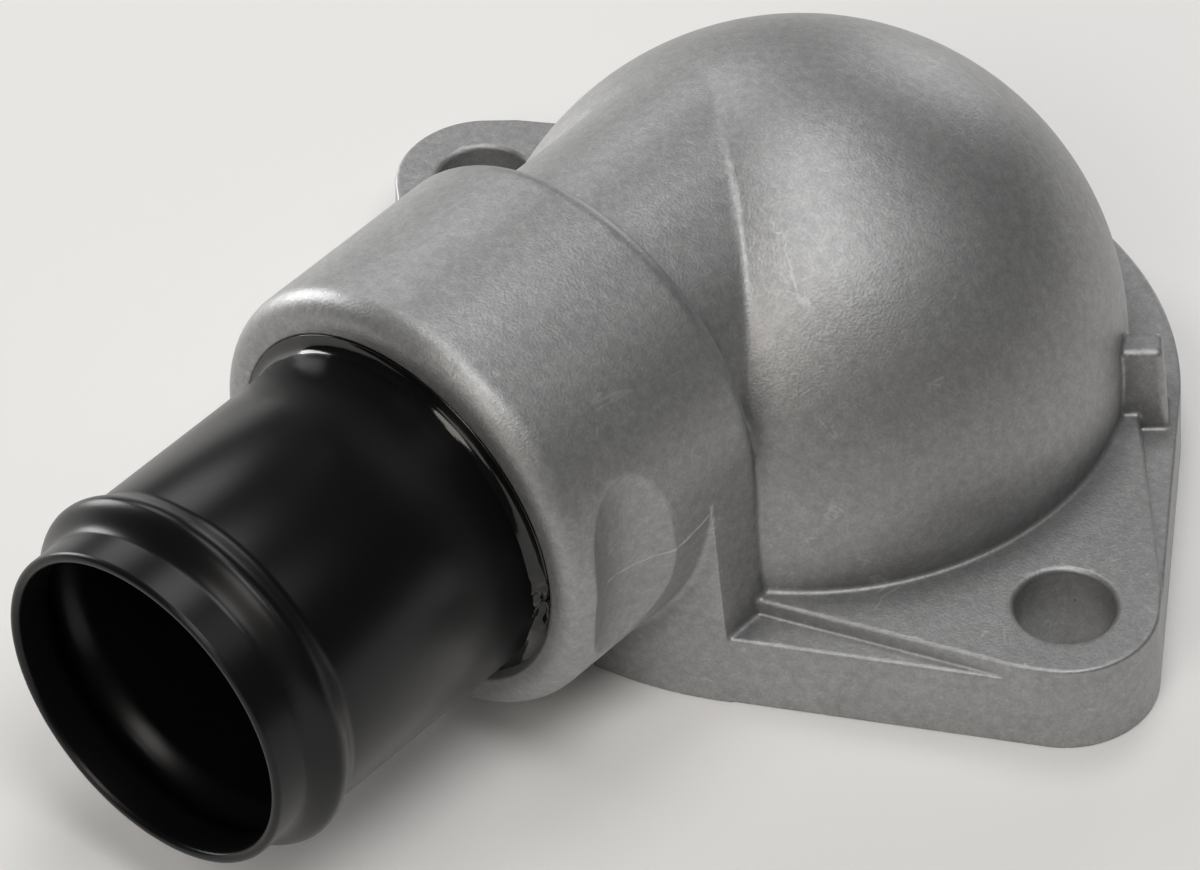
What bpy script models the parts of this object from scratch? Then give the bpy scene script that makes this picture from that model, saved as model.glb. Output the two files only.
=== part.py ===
"""Thermostat housing: a die-cast elbow with a two-bolt flange and a steel hose tube.

The casting is a spherical dome over the thermostat's seat. A horizontal neck leaves it,
set a little to one side of the dome's axis, and holds a pressed-in tube with a rolled
bead. A ring of sealant fills the chamfer where the tube enters the neck.

Lengths are in metres and angles in degrees. Plan positions are taken from the dome's
axis, with the neck pointing along -Y and the flange's sealing face at Z = 0. The world
origin lies under the middle of the part's footprint.
"""

import math

import bmesh
import bpy
from mathutils import Vector

# Dome
DOME_RADIUS = 0.0344
DOME_CENTRE_HEIGHT = 0.0140
DOME_WALL = 0.0034

# Flange: a rim round the dome's foot, run out to an ear at each bolt
RIM_WIDTH = 0.00585
PLATE_THICKNESS = 0.0088
PAD_RISE = 0.0019
PAD_MARGIN = 0.0005
EAR_RADIUS = 0.0100
EAR_ANGLES = {"right": -13.5, "left": 179.0}
BOLT_OUTSET = 0.00505
BOLT_HOLE_RADIUS = 0.0052
EDGE_CHAMFER = 0.0004
WALL_DRAFT = 1.5
SEAT_STEP = 0.0020
SEAT_DEPTH = 0.0032

# Neck: a level collar along -Y and a slimmer hood that joins it to the dome
NECK_SIDE_OFFSET = 0.0066
NECK_HEIGHT = 0.0263
COLLAR_RADIUS = 0.0246
COLLAR_OVERLAP = 0.0064
COLLAR_LENGTH = 0.0274
COLLAR_REAR_ROUND = 0.0010
LIP_ROUND = 0.0030
HOOD_RADIUS = 0.0198
HOOD_SHIFT_SIDE = 0.0011
HOOD_SHIFT_UP = 0.0012

# Web between the neck and the flange, up to the height where the halves of the die part
PARTING_HEIGHT = 0.0275
WEB_DRAFT = 4.6
WEB_STEP = 0.00015
WEB_INSET = 0.0001

# Locating lug on the rim, and the upright scoop in the neck's side that clears a neighbour
LUG_ANGLE = 30.3
LUG_TURN = 40.0
LUG_THICKNESS = 0.0061
LUG_SETBACK = 0.00095
LUG_RISE = 0.0099
LUG_DRAFT = 5.0
SCOOP_FROM_MOUTH = 0.0085
SCOOP_RADIUS = 0.0099
SCOOP_DEPTH = 0.0015

# Hose tube, pressed into a socket in the collar
TUBE_RADIUS = 0.0190
TUBE_WALL = 0.0012
TUBE_REACH = 0.0373
SOCKET_DEPTH = 0.0220
SHOULDER_WIDTH = 0.0035
BEAD_FROM_END = 0.0071
BEAD_RISE = 0.0013
BEAD_HALF_WIDTH = 0.0033
SPIGOT_REDUCTION = 0.0008
FIT_GAP = 0.0003

# Sealant in the chamfer of the collar's mouth
MOUTH_CHAMFER = 0.0014
SEALANT_INSET = 0.0002
SEALANT_CLIMB = 0.0012
SEALANT_DEPTH = 0.0012

# Roundness of the facets, and how far a cutter runs past what it cuts
ROUND_STEPS = 64
HOLE_STEPS = 32
DOME_RINGS = 12
CORNER_STEPS = 4
EAR_STEPS = 12
RIM_STEP = 6.0
BEAD_STEPS = 10
MERGE = 0.00001
OVERRUN = 0.0020
SHARP_ANGLE = 32.0

# Places that follow from the sizes
FLANGE_RADIUS = DOME_RADIUS + RIM_WIDTH
BOLT_DISTANCE = FLANGE_RADIUS + BOLT_OUTSET
PAD_HEIGHT = PLATE_THICKNESS + PAD_RISE
NECK_X = -NECK_SIDE_OFFSET
NECK_SIDE_X = NECK_X + COLLAR_RADIUS
COLLAR_REAR = DOME_RADIUS - COLLAR_OVERLAP
COLLAR_MOUTH = COLLAR_REAR + COLLAR_LENGTH
HOOD_FRONT = COLLAR_REAR + 2.0 * COLLAR_REAR_ROUND
HOOD_X = NECK_X + HOOD_SHIFT_SIDE
HOOD_HEIGHT = NECK_HEIGHT + HOOD_SHIFT_UP
SOCKET_RADIUS = TUBE_RADIUS + FIT_GAP
SOCKET_END = COLLAR_MOUTH - SOCKET_DEPTH
PASSAGE_RADIUS = SOCKET_RADIUS - SHOULDER_WIDTH
TUBE_END = COLLAR_MOUTH + TUBE_REACH
BEAD_CENTRE = TUBE_END - BEAD_FROM_END


def clear_scene():
    """Remove everything that the open file holds."""
    for obj in list(bpy.data.objects):
        bpy.data.objects.remove(obj, do_unlink=True)


def make_collection(name):
    """Return a new collection linked to the scene."""
    collection = bpy.data.collections.new(name)
    bpy.context.scene.collection.children.link(collection)
    return collection


def make_material(name, colour, roughness, metallic):
    """Return a Principled material."""
    material = bpy.data.materials.new(name)
    material.use_nodes = True
    shader = material.node_tree.nodes["Principled BSDF"]
    shader.inputs["Base Color"].default_value = (*colour, 1.0)
    shader.inputs["Roughness"].default_value = roughness
    shader.inputs["Metallic"].default_value = metallic
    return material


def polar(radius, degrees, centre=(0.0, 0.0)):
    """Return the point at a radius and angle round a centre."""
    angle = math.radians(degrees)
    return (centre[0] + radius * math.cos(angle), centre[1] + radius * math.sin(angle))


def arc(centre, radius, start, end, steps):
    """Return points along an arc, both ends included."""
    return [polar(radius, start + (end - start) * i / steps, centre) for i in range(steps + 1)]


def draft_at(height, degrees=WALL_DRAFT):
    """Return how far a drafted wall has moved in at a height above the flange face."""
    return height * math.tan(math.radians(degrees))


class Builder:
    """Makes the solids and cutters, all placed from the dome's axis."""

    def __init__(self, parts, cutters, frame):
        self.parts = parts
        self.cutters = cutters
        self.frame = frame

    def add(self, mesh, name, is_part, location=(0.0, 0.0, 0.0), along_neck=False):
        """Link a mesh as an object. A cutter or a blank is drawn as wire and not rendered."""
        obj = bpy.data.objects.new(name, mesh)
        (self.parts if is_part else self.cutters).objects.link(obj)
        obj.parent = self.frame
        obj.location = location
        if along_neck:
            obj.rotation_euler.x = math.radians(90.0)
        if not is_part:
            obj.display_type = "WIRE"
            obj.hide_render = True
        return obj

    def turned(self, name, profile, is_part=False, closed=False, steps=ROUND_STEPS, **place):
        """Revolve a profile about local Z. It runs down its outer side, top to bottom."""
        mesh = bpy.data.meshes.new(name)
        count = len(profile)
        edges = [(i, i + 1) for i in range(count - 1)]
        if closed:
            edges.append((count - 1, 0))
        mesh.from_pydata([(r, 0.0, z) for r, z in profile], edges, [])
        obj = self.add(mesh, name, is_part, **place)
        screw = obj.modifiers.new("Turn", "SCREW")
        screw.axis = "Z"
        screw.steps = steps
        screw.render_steps = steps
        screw.use_merge_vertices = True
        screw.merge_threshold = MERGE
        screw.use_smooth_shade = True
        return obj

    def lofted(self, name, rings, **place):
        """Join rings of equally many points, lowest first, and cap the ends."""
        mesh = bpy.data.meshes.new(name)
        bm = bmesh.new()
        loops = [[bm.verts.new(point) for point in ring] for ring in rings]
        for low, high in zip(loops, loops[1:]):
            for i, vert in enumerate(low):
                j = (i + 1) % len(low)
                bm.faces.new((vert, low[j], high[j], high[i]))
        bm.faces.new(reversed(loops[0]))
        bm.faces.new(loops[-1])
        bm.to_mesh(mesh)
        bm.free()
        return self.add(mesh, name, False, **place)


def hemisphere(radius):
    """Return a profile of the dome's form, from its top down to its widest ring."""
    curve = arc((0.0, DOME_CENTRE_HEIGHT), radius, 90.0, 0.0, DOME_RINGS)
    return [(0.0, curve[0][1]), *curve[1:]]


def level(points, height):
    """Lift plan points to a height."""
    return [(x, y, height) for x, y in points]


def ear_centre(side):
    """Return the plan position of an ear's bolt hole."""
    return polar(BOLT_DISTANCE, EAR_ANGLES[side])


def tangent_angle(hub_radius):
    """Return how far round from an ear the straight sides touch the hub's circle."""
    return math.degrees(math.acos((hub_radius - EAR_RADIUS) / BOLT_DISTANCE))


def ear_arc_angles(side):
    """Return the angles of the facets round an ear's outer end."""
    reach = tangent_angle(FLANGE_RADIUS)
    start = EAR_ANGLES[side] - reach
    return [start + 2.0 * reach * i / EAR_STEPS for i in range(EAR_STEPS + 1)]


def plate_outline(height):
    """Return the flange plate's outline: a rim circle run out to two ears."""
    inset = draft_at(height)
    reach = tangent_angle(FLANGE_RADIUS)
    right, left = EAR_ANGLES["right"], EAR_ANGLES["left"]
    points = []
    for side, start, end in (
        ("right", right + reach, left - reach),
        ("left", left + reach, right + 360.0 - reach),
    ):
        centre = ear_centre(side)
        points += [polar(EAR_RADIUS - inset, a, centre) for a in ear_arc_angles(side)]
        steps = max(2, round((end - start) / RIM_STEP))
        points += arc((0.0, 0.0), FLANGE_RADIUS - inset, start, end, steps)
    return points


def pad_outline(side, height, inset=0.0):
    """Return a raised pad's outline, from the dome's axis out round one ear."""
    hub_radius = DOME_RADIUS + PAD_MARGIN
    reach = tangent_angle(hub_radius)
    angle = EAR_ANGLES[side]
    centre = ear_centre(side)
    ear_radius = EAR_RADIUS - draft_at(height) - inset
    hub = hub_radius - draft_at(height - PLATE_THICKNESS) - inset
    around_ear = [angle - reach, *ear_arc_angles(side), angle + reach]
    points = [(0.0, 0.0), polar(hub, angle - reach)]
    points += [polar(ear_radius, a, centre) for a in around_ear]
    points.append(polar(hub, angle + reach))
    return points


def dome_blank(build):
    """Return the dome: a hemisphere on a short upright wall, sunk into the plate."""
    foot = PLATE_THICKNESS / 2.0
    profile = [*hemisphere(DOME_RADIUS), (DOME_RADIUS, foot), (0.0, foot)]
    return build.turned("cast_housing", profile, is_part=True)


def flange_blanks(build):
    """Return the flange plate and its two raised ear pads."""
    heights = (0.0, PLATE_THICKNESS)
    blanks = [build.lofted("plate_blank", [level(plate_outline(z), z) for z in heights])]
    shoulder = PAD_HEIGHT - EDGE_CHAMFER
    for side in EAR_ANGLES:
        rings = [level(pad_outline(side, z), z) for z in (PLATE_THICKNESS, shoulder)]
        rings.append(level(pad_outline(side, PAD_HEIGHT, EDGE_CHAMFER), PAD_HEIGHT))
        blanks.append(build.lofted(f"{side}_pad_blank", rings))
    return blanks


def web_outline(height, steps):
    """Return the web's plan, which the neck's rear, the rim's circle and the near side bound."""
    radius = FLANGE_RADIUS + WEB_STEP - draft_at(height)
    side = NECK_SIDE_X - WEB_INSET + draft_at(PARTING_HEIGHT - height, WEB_DRAFT)
    rear = COLLAR_REAR + COLLAR_REAR_ROUND
    near = -math.degrees(math.acos(side / radius))
    far = math.degrees(math.asin(rear / radius)) - 180.0
    return [*arc((0.0, 0.0), radius, far, near, steps), (side, -rear)]


def hood_web_outline(height):
    """Return the plan of the web under the hood, from the dome's axis out to the collar."""
    half = HOOD_RADIUS - WEB_INSET + draft_at(HOOD_HEIGHT - height, WEB_DRAFT)
    near, far = HOOD_X + half, HOOD_X - half
    return [(far, 0.0), (far, -HOOD_FRONT), (near, -HOOD_FRONT), (near, 0.0)]


def web_blanks(build):
    """Return the web that carries the neck, and the narrower one under the hood."""
    steps = round(90.0 / RIM_STEP)
    rings = [level(web_outline(z, steps), z) for z in (0.0, PARTING_HEIGHT)]
    front_web = build.lofted("front_web_blank", rings)
    rings = [level(hood_web_outline(z), z) for z in (PLATE_THICKNESS / 2.0, HOOD_HEIGHT)]
    return [front_web, build.lofted("hood_web_blank", rings)]


def neck_blanks(build):
    """Return the thick collar at the neck's mouth and the slimmer hood behind it."""
    corner = (COLLAR_RADIUS - LIP_ROUND, COLLAR_MOUTH - LIP_ROUND)
    rear = (COLLAR_RADIUS - COLLAR_REAR_ROUND, COLLAR_REAR + COLLAR_REAR_ROUND)
    profile = [(0.0, COLLAR_MOUTH)]
    profile += arc(corner, LIP_ROUND, 90.0, 0.0, CORNER_STEPS)
    profile += arc(rear, COLLAR_REAR_ROUND, 0.0, -90.0, CORNER_STEPS // 2)
    profile.append((0.0, COLLAR_REAR))
    axis = (NECK_X, 0.0, NECK_HEIGHT)
    collar = build.turned("collar_blank", profile, location=axis, along_neck=True)

    profile = [(0.0, HOOD_FRONT), (HOOD_RADIUS, HOOD_FRONT)]
    profile += arc((0.0, 0.0), HOOD_RADIUS, 0.0, -90.0, DOME_RINGS)[:-1]
    profile.append((0.0, -HOOD_RADIUS))
    axis = (HOOD_X, 0.0, HOOD_HEIGHT)
    hood = build.turned("hood_blank", profile, location=axis, along_neck=True)
    return [collar, hood]


def lug_blank(build):
    """Return the locating lug, a drafted block from the dome's wall out to the rim."""
    outward = Vector(polar(1.0, LUG_TURN))
    across = Vector((-outward.y, outward.x))
    start = Vector(polar(DOME_RADIUS - DOME_WALL / 2.0, LUG_ANGLE))
    reach = FLANGE_RADIUS - LUG_SETBACK - start.length
    reach = reach / math.cos(math.radians(LUG_TURN - LUG_ANGLE))
    rings = []
    for rise in (-PLATE_THICKNESS / 2.0, LUG_RISE):
        inset = draft_at(rise + PLATE_THICKNESS / 2.0, LUG_DRAFT)
        half = LUG_THICKNESS / 2.0 - inset
        end = start + outward * (reach - inset)
        ring = [start - across * half, end - across * half, end + across * half]
        ring.append(start + across * half)
        rings.append(level(ring, PLATE_THICKNESS + rise))
    return build.lofted("lug_blank", rings)


def cavity_cutter(build):
    """Return the cutter of the dome's inside, with the seat for the thermostat's rim."""
    inner = DOME_RADIUS - DOME_WALL
    seat = inner + SEAT_STEP
    profile = [*hemisphere(inner), (inner, SEAT_DEPTH), (seat, SEAT_DEPTH)]
    profile += [(seat, -OVERRUN), (0.0, -OVERRUN)]
    return build.turned("cavity_cutter", profile)


def passage_cutter(build):
    """Return the cutter of the water's passage, the tube's socket and the mouth's chamfer."""
    flare = SOCKET_RADIUS + MOUTH_CHAMFER
    profile = [(0.0, COLLAR_MOUTH + OVERRUN), (flare, COLLAR_MOUTH + OVERRUN)]
    profile += [(flare, COLLAR_MOUTH), (SOCKET_RADIUS, COLLAR_MOUTH - MOUTH_CHAMFER)]
    profile += [(SOCKET_RADIUS, SOCKET_END), (PASSAGE_RADIUS, SOCKET_END)]
    profile += [(PASSAGE_RADIUS, 0.0), (0.0, 0.0)]
    axis = (NECK_X, 0.0, NECK_HEIGHT)
    return build.turned("passage_cutter", profile, location=axis, along_neck=True)


def hole_cutter(build, side):
    """Return the cutter of one ear's bolt hole."""
    top = PAD_HEIGHT + OVERRUN
    profile = [(0.0, top), (BOLT_HOLE_RADIUS, top)]
    profile += [(BOLT_HOLE_RADIUS, -OVERRUN), (0.0, -OVERRUN)]
    place = (*ear_centre(side), 0.0)
    return build.turned(f"{side}_hole_cutter", profile, steps=HOLE_STEPS, location=place)


def scoop_cutter(build):
    """Return the cutter of the scoop, narrowest where the halves of the die part."""
    reach = COLLAR_RADIUS
    flared = SCOOP_RADIUS + draft_at(reach, WEB_DRAFT)
    profile = [(0.0, reach), (flared, reach), (SCOOP_RADIUS, 0.0)]
    profile += [(flared, -reach), (0.0, -reach)]
    centre_x = NECK_SIDE_X - SCOOP_DEPTH + SCOOP_RADIUS
    place = (centre_x, SCOOP_FROM_MOUTH - COLLAR_MOUTH, PARTING_HEIGHT)
    return build.turned("scoop_cutter", profile, location=place)


def combine(target, others, operation):
    """Join or cut the target with the other solids, one Boolean each."""
    for other in others:
        boolean = target.modifiers.new(f"{operation.title()} {other.name}", "BOOLEAN")
        boolean.operation = operation
        boolean.solver = "EXACT"
        boolean.object = other


def build_housing(build, material):
    """Build the one-piece casting."""
    housing = dome_blank(build)
    blanks = [*flange_blanks(build), *web_blanks(build), *neck_blanks(build), lug_blank(build)]
    cutters = [cavity_cutter(build), passage_cutter(build), scoop_cutter(build)]
    cutters += [hole_cutter(build, side) for side in EAR_ANGLES]
    combine(housing, blanks, "UNION")
    combine(housing, cutters, "DIFFERENCE")
    housing.data.materials.append(material)
    return housing


def bead_shift(distance):
    """Return how far the rolled bead pushes the tube's wall out at a distance along it."""
    offset = (distance - BEAD_CENTRE) / BEAD_HALF_WIDTH
    if abs(offset) >= 1.0:
        return 0.0
    return BEAD_RISE * (1.0 + math.cos(math.pi * offset)) / 2.0


def spigot_shift(distance):
    """Return how far the tube is drawn in beyond the bead."""
    share = min(max((distance - BEAD_CENTRE) / BEAD_HALF_WIDTH, 0.0), 1.0)
    return SPIGOT_REDUCTION * share * share * (3.0 - 2.0 * share)


def bead_side(radius):
    """Return one side of the tube's wall over the bead, from its open end inwards."""
    shares = [1.0 - 2.0 * i / BEAD_STEPS for i in range(BEAD_STEPS + 1)]
    stations = [BEAD_CENTRE + BEAD_HALF_WIDTH * share for share in shares]
    return [(radius + bead_shift(z) - spigot_shift(z), z) for z in stations]


def build_tube(build, material):
    """Build the hose tube: an open pipe with a rolled bead behind a drawn-in end."""
    seat = SOCKET_END + FIT_GAP
    inner = TUBE_RADIUS - TUBE_WALL
    edge = TUBE_WALL / 2.0
    middle = TUBE_RADIUS - SPIGOT_REDUCTION - edge
    profile = arc((middle, TUBE_END - edge), edge, 90.0, 0.0, CORNER_STEPS // 2)
    profile += [*bead_side(TUBE_RADIUS), (TUBE_RADIUS, seat)]
    profile += [(inner, seat), *reversed(bead_side(inner))]
    profile += arc((middle, TUBE_END - edge), edge, 180.0, 90.0, CORNER_STEPS // 2)[:-1]
    axis = (NECK_X, 0.0, NECK_HEIGHT)
    tube = build.turned(
        "hose_tube", profile, is_part=True, closed=True, location=axis, along_neck=True
    )
    tube.data.materials.append(material)
    return tube


def build_sealant(build, material):
    """Build the sealant: a fillet in the neck's chamfer, drawn up onto the tube."""
    inner = TUBE_RADIUS + FIT_GAP
    width = MOUTH_CHAMFER - SEALANT_INSET
    face = COLLAR_MOUTH - SEALANT_INSET + FIT_GAP
    crest = COLLAR_MOUTH + SEALANT_CLIMB
    bow = width / 4.0
    profile = []
    for i in range(CORNER_STEPS + 1):
        share = i / CORNER_STEPS
        sag = bow * math.sin(math.pi * share)
        radius = inner + width * share - sag
        profile.append((radius, crest + (face - crest) * share - sag))
    profile.append((inner, face - SEALANT_DEPTH))
    axis = (NECK_X, 0.0, NECK_HEIGHT)
    sealant = build.turned(
        "sealant_ring", profile, is_part=True, closed=True, location=axis, along_neck=True
    )
    sealant.data.materials.append(material)
    return sealant


def settle(obj):
    """Turn an object's evaluated shape into a plain mesh with crisp creases."""
    graph = bpy.context.evaluated_depsgraph_get()
    mesh = bpy.data.meshes.new_from_object(obj.evaluated_get(graph))
    obj.modifiers.clear()
    obj.data = mesh
    mesh.shade_smooth()
    mesh.set_sharp_from_angle(angle=math.radians(SHARP_ANGLE))


def footprint_centre():
    """Return the middle of the part's footprint, seen from the dome's axis."""
    reach = {side: ear_centre(side)[0] for side in EAR_ANGLES}
    middle_x = (reach["right"] + reach["left"]) / 2.0
    middle_y = (FLANGE_RADIUS - TUBE_END) / 2.0
    return middle_x, middle_y


def main():
    """Build the thermostat housing."""
    clear_scene()
    parts = make_collection("thermostat_housing")
    cutters = make_collection("cutters")
    frame = bpy.data.objects.new("dome_axis", None)
    parts.objects.link(frame)
    middle_x, middle_y = footprint_centre()
    frame.location = (-middle_x, -middle_y, 0.0)
    build = Builder(parts, cutters, frame)

    aluminium = make_material("cast_aluminium", (0.42, 0.41, 0.40), 0.48, 1.0)
    paint = make_material("black_paint", (0.012, 0.012, 0.013), 0.32, 0.0)
    sealant = make_material("black_sealant", (0.010, 0.010, 0.010), 0.18, 0.0)
    pieces = [
        build_housing(build, aluminium),
        build_tube(build, paint),
        build_sealant(build, sealant),
    ]
    bpy.context.view_layer.update()
    for piece in pieces:
        settle(piece)


main()
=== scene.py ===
"""Looks of the thermostat housing: its finished surfaces, materials, studio and camera.

The casting is described as a solid of rolling-ball fillets and rounds, and then meshed: a
coarse net is laid over it, pulled onto the true surface and made finer where it bends. The
hose tube and the sealant are sections that Geometry Nodes turn round the neck's axis.

Lengths are in metres. Plan positions are taken from the dome's axis, with the neck along
-Y and the sealing face at Z = 0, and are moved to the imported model's frame at the end.
"""

import logging
import math
from collections.abc import Callable, Sequence
from dataclasses import dataclass, field
from enum import Enum
from functools import partial

import bpy
import numpy as np
from mathutils import Matrix, Vector


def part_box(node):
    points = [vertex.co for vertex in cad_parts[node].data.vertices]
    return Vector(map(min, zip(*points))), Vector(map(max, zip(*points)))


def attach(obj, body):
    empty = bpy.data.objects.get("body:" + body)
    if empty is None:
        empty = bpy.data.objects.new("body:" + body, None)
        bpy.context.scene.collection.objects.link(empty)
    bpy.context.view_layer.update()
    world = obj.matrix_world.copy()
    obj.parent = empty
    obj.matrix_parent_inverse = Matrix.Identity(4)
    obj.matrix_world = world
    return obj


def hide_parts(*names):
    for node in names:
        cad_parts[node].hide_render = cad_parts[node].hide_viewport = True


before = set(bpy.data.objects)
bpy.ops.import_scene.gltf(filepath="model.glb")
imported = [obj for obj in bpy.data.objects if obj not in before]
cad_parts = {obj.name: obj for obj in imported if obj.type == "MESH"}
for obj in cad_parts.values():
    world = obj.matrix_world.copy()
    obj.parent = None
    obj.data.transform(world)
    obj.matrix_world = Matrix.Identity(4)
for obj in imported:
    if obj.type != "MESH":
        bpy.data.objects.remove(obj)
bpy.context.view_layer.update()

BODY = "root"
UP = (0.0, 0.0, 1.0)
DOWN = (0.0, 0.0, -1.0)
OUT_OF_MOUTH = (0.0, -1.0, 0.0)
INTO_MOUTH = (0.0, 1.0, 0.0)
WHITE = (1.0, 1.0, 1.0)
WARM = (1.0, 0.95, 0.89)

# How far two directions may differ or agree for a fillet to be rolled between their faces
ALIKE_LIMITS = (-0.9, 0.9999)
# Two triangles are too wide if the cosines of the corners off their shared edge sum to less
WIDE_PAIR = -0.02
# What swapping the diagonal may lose in fit for such a pair, and must gain for any other
FIT_SLACK = 0.01
FIT_GAIN = 0.03
# The greatest bend along an edge, in radians, and the shortest edge, for each refining round
REFINING = ((0.5, 0.0006), (0.4, 0.0004), (0.35, 0.0003), (0.35, 0.0002))
# The directions of the bolt holes from the dome's axis, in degrees
EAR_ANGLES = {"right": -13.5, "left": 179.0}

log = logging.getLogger("thermostat_housing")


# Surfaces described by distance


@dataclass(frozen=True)
class Surface:
    """A solid's surface, as it is seen from a set of points.

    Attributes:
        distance: How far each point is outside the solid, negative inside it.
        normal: The outward unit direction at each point.
    """

    distance: np.ndarray
    normal: np.ndarray

    def flipped(self) -> "Surface":
        """Return the surface of everything outside this solid."""
        return Surface(-self.distance, -self.normal)

    def join(self, other: "Surface", fillet: float | np.ndarray = 0.0) -> "Surface":
        """Return the union with another solid, with a ball's fillet rolled into the crease.

        Args:
            other: The solid that is joined on.
            fillet: The ball's radius, for all points or for each one.

        Returns:
            The joined solid's surface.
        """
        nearer = self.distance <= other.distance
        distance = np.where(nearer, self.distance, other.distance)
        normal = np.where(nearer[:, None], self.normal, other.normal)
        ball = np.broadcast_to(fillet, distance.shape)
        near = np.flatnonzero((self.distance < 3.0 * ball) & (other.distance < 3.0 * ball))
        near = near[ball[near] > 0.0]
        ball = ball[near]
        mine, theirs = self.normal[near], other.normal[near]
        alike = np.einsum("ij,ij->i", mine, theirs).clip(*ALIKE_LIMITS)
        depth, their_depth = ball - self.distance[near], ball - other.distance[near]
        spread = 1.0 - alike * alike
        part = (depth - their_depth * alike) / spread
        their_part = (their_depth - depth * alike) / spread
        held = (part > 0.0) & (their_part > 0.0)
        rows = near[held]
        reach = np.sqrt(part * depth + their_part * their_depth, where=held, out=np.ones_like(part))
        distance[rows] = ball[held] - reach[held]
        blend = part[:, None] * mine + their_part[:, None] * theirs
        normal[rows] = blend[held] / reach[held, None]
        return Surface(distance, normal)

    def meet(self, other: "Surface", rounding: float = 0.0) -> "Surface":
        """Return what two solids have in common, with its edge rounded to a radius."""
        return self.flipped().join(other.flipped(), rounding).flipped()

    def cut(self, other: "Surface", rounding: float = 0.0) -> "Surface":
        """Return this solid less another, with the cut's edge rounded to a radius."""
        return self.flipped().join(other, rounding).flipped()

    def raised(self, height: np.ndarray, slope: np.ndarray) -> "Surface":
        """Return the surface lifted by a height, whose slope is given along each axis."""
        normal = self.normal - slope
        normal /= np.maximum(np.linalg.norm(normal, axis=1, keepdims=True), 1e-9)
        return Surface(self.distance - height, normal)


def half_space(points: np.ndarray, origin: Sequence[float], normal: Sequence[float]) -> Surface:
    """Return the flat-faced solid that lies behind a plane.

    Args:
        points: The points that look at it.
        origin: A point on the plane.
        normal: The way the plane faces.

    Returns:
        The surface seen from the points.
    """
    facing = np.array(normal) / np.linalg.norm(normal)
    distance = (points - np.array(origin)) @ facing
    return Surface(distance, np.broadcast_to(facing, points.shape))


def turned(
    points: np.ndarray,
    origin: Sequence[float],
    axis: Sequence[float],
    radius: float,
    slope: float = 0.0,
) -> Surface:
    """Return an endless cylinder, or a cone whose radius grows along its axis.

    Args:
        points: The points that look at it.
        origin: The point on the axis where the radius is taken.
        axis: The unit direction of the axis.
        radius: The radius at the origin.
        slope: How much the radius grows for each metre along the axis.

    Returns:
        The surface seen from the points.
    """
    line = np.array(axis)
    offset = points - np.array(origin)
    along = offset @ line
    radial = offset - along[:, None] * line
    reach = np.maximum(np.linalg.norm(radial, axis=1), 1e-9)
    share = 1.0 / math.hypot(1.0, slope)
    distance = (reach - radius - slope * along) * share
    return Surface(distance, (radial / reach[:, None] - slope * line) * share)


def domed_post(
    points: np.ndarray, origin: Sequence[float], axis: Sequence[float], radius: float
) -> Surface:
    """Return an endless round post whose one end is a half ball.

    Args:
        points: The points that look at it.
        origin: The ball's centre.
        axis: The unit direction in which the post runs on.
        radius: The radius of the post and the ball.

    Returns:
        The surface seen from the points.
    """
    line = np.array(axis)
    offset = points - np.array(origin)
    offset -= np.maximum(offset @ line, 0.0)[:, None] * line
    reach = np.maximum(np.linalg.norm(offset, axis=1), 1e-9)
    return Surface(reach - radius, offset / reach[:, None])


def lobe(points: np.ndarray, ear: "Ear", hub: float, tip: float, slope: float) -> Surface:
    """Return an upright wall round two circles, one about the dome's axis and one at an ear.

    Args:
        points: The points that look at it.
        ear: The ear's place.
        hub: The radius about the dome's axis, at the sealing face.
        tip: The radius about the ear's hole, at the sealing face.
        slope: How far the wall leans in for each metre of height.

    Returns:
        The surface seen from the points.
    """
    cosine, sine = math.cos(ear.angle), math.sin(ear.angle)
    along = points[:, 0] * cosine + points[:, 1] * sine
    across = points[:, 1] * cosine - points[:, 0] * sine
    side = np.where(across < 0.0, -1.0, 1.0)
    across = np.abs(across)
    lean = (hub - tip) / ear.distance
    rest = math.sqrt(1.0 - lean * lean)
    place = along * rest - across * lean
    at_hub, at_tip = place < 0.0, place > ear.distance * rest
    shift = np.where(at_tip, along - ear.distance, along)
    reach = np.maximum(np.hypot(shift, across), 1e-9)
    flat = ~(at_hub | at_tip)
    distance = np.where(at_tip, reach - tip, reach - hub)
    distance = np.where(flat, along * lean + across * rest - hub, distance)
    out = np.where(flat, lean, shift / reach)
    aside = np.where(flat, rest, across / reach) * side
    share = 1.0 / math.hypot(1.0, slope)
    normal = np.stack([out * cosine - aside * sine, out * sine + aside * cosine], axis=1)
    normal = np.column_stack([normal, np.full(len(points), slope)]) * share
    return Surface((distance + points[:, 2] * slope) * share, normal)


# Laying a mesh over a surface


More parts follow.
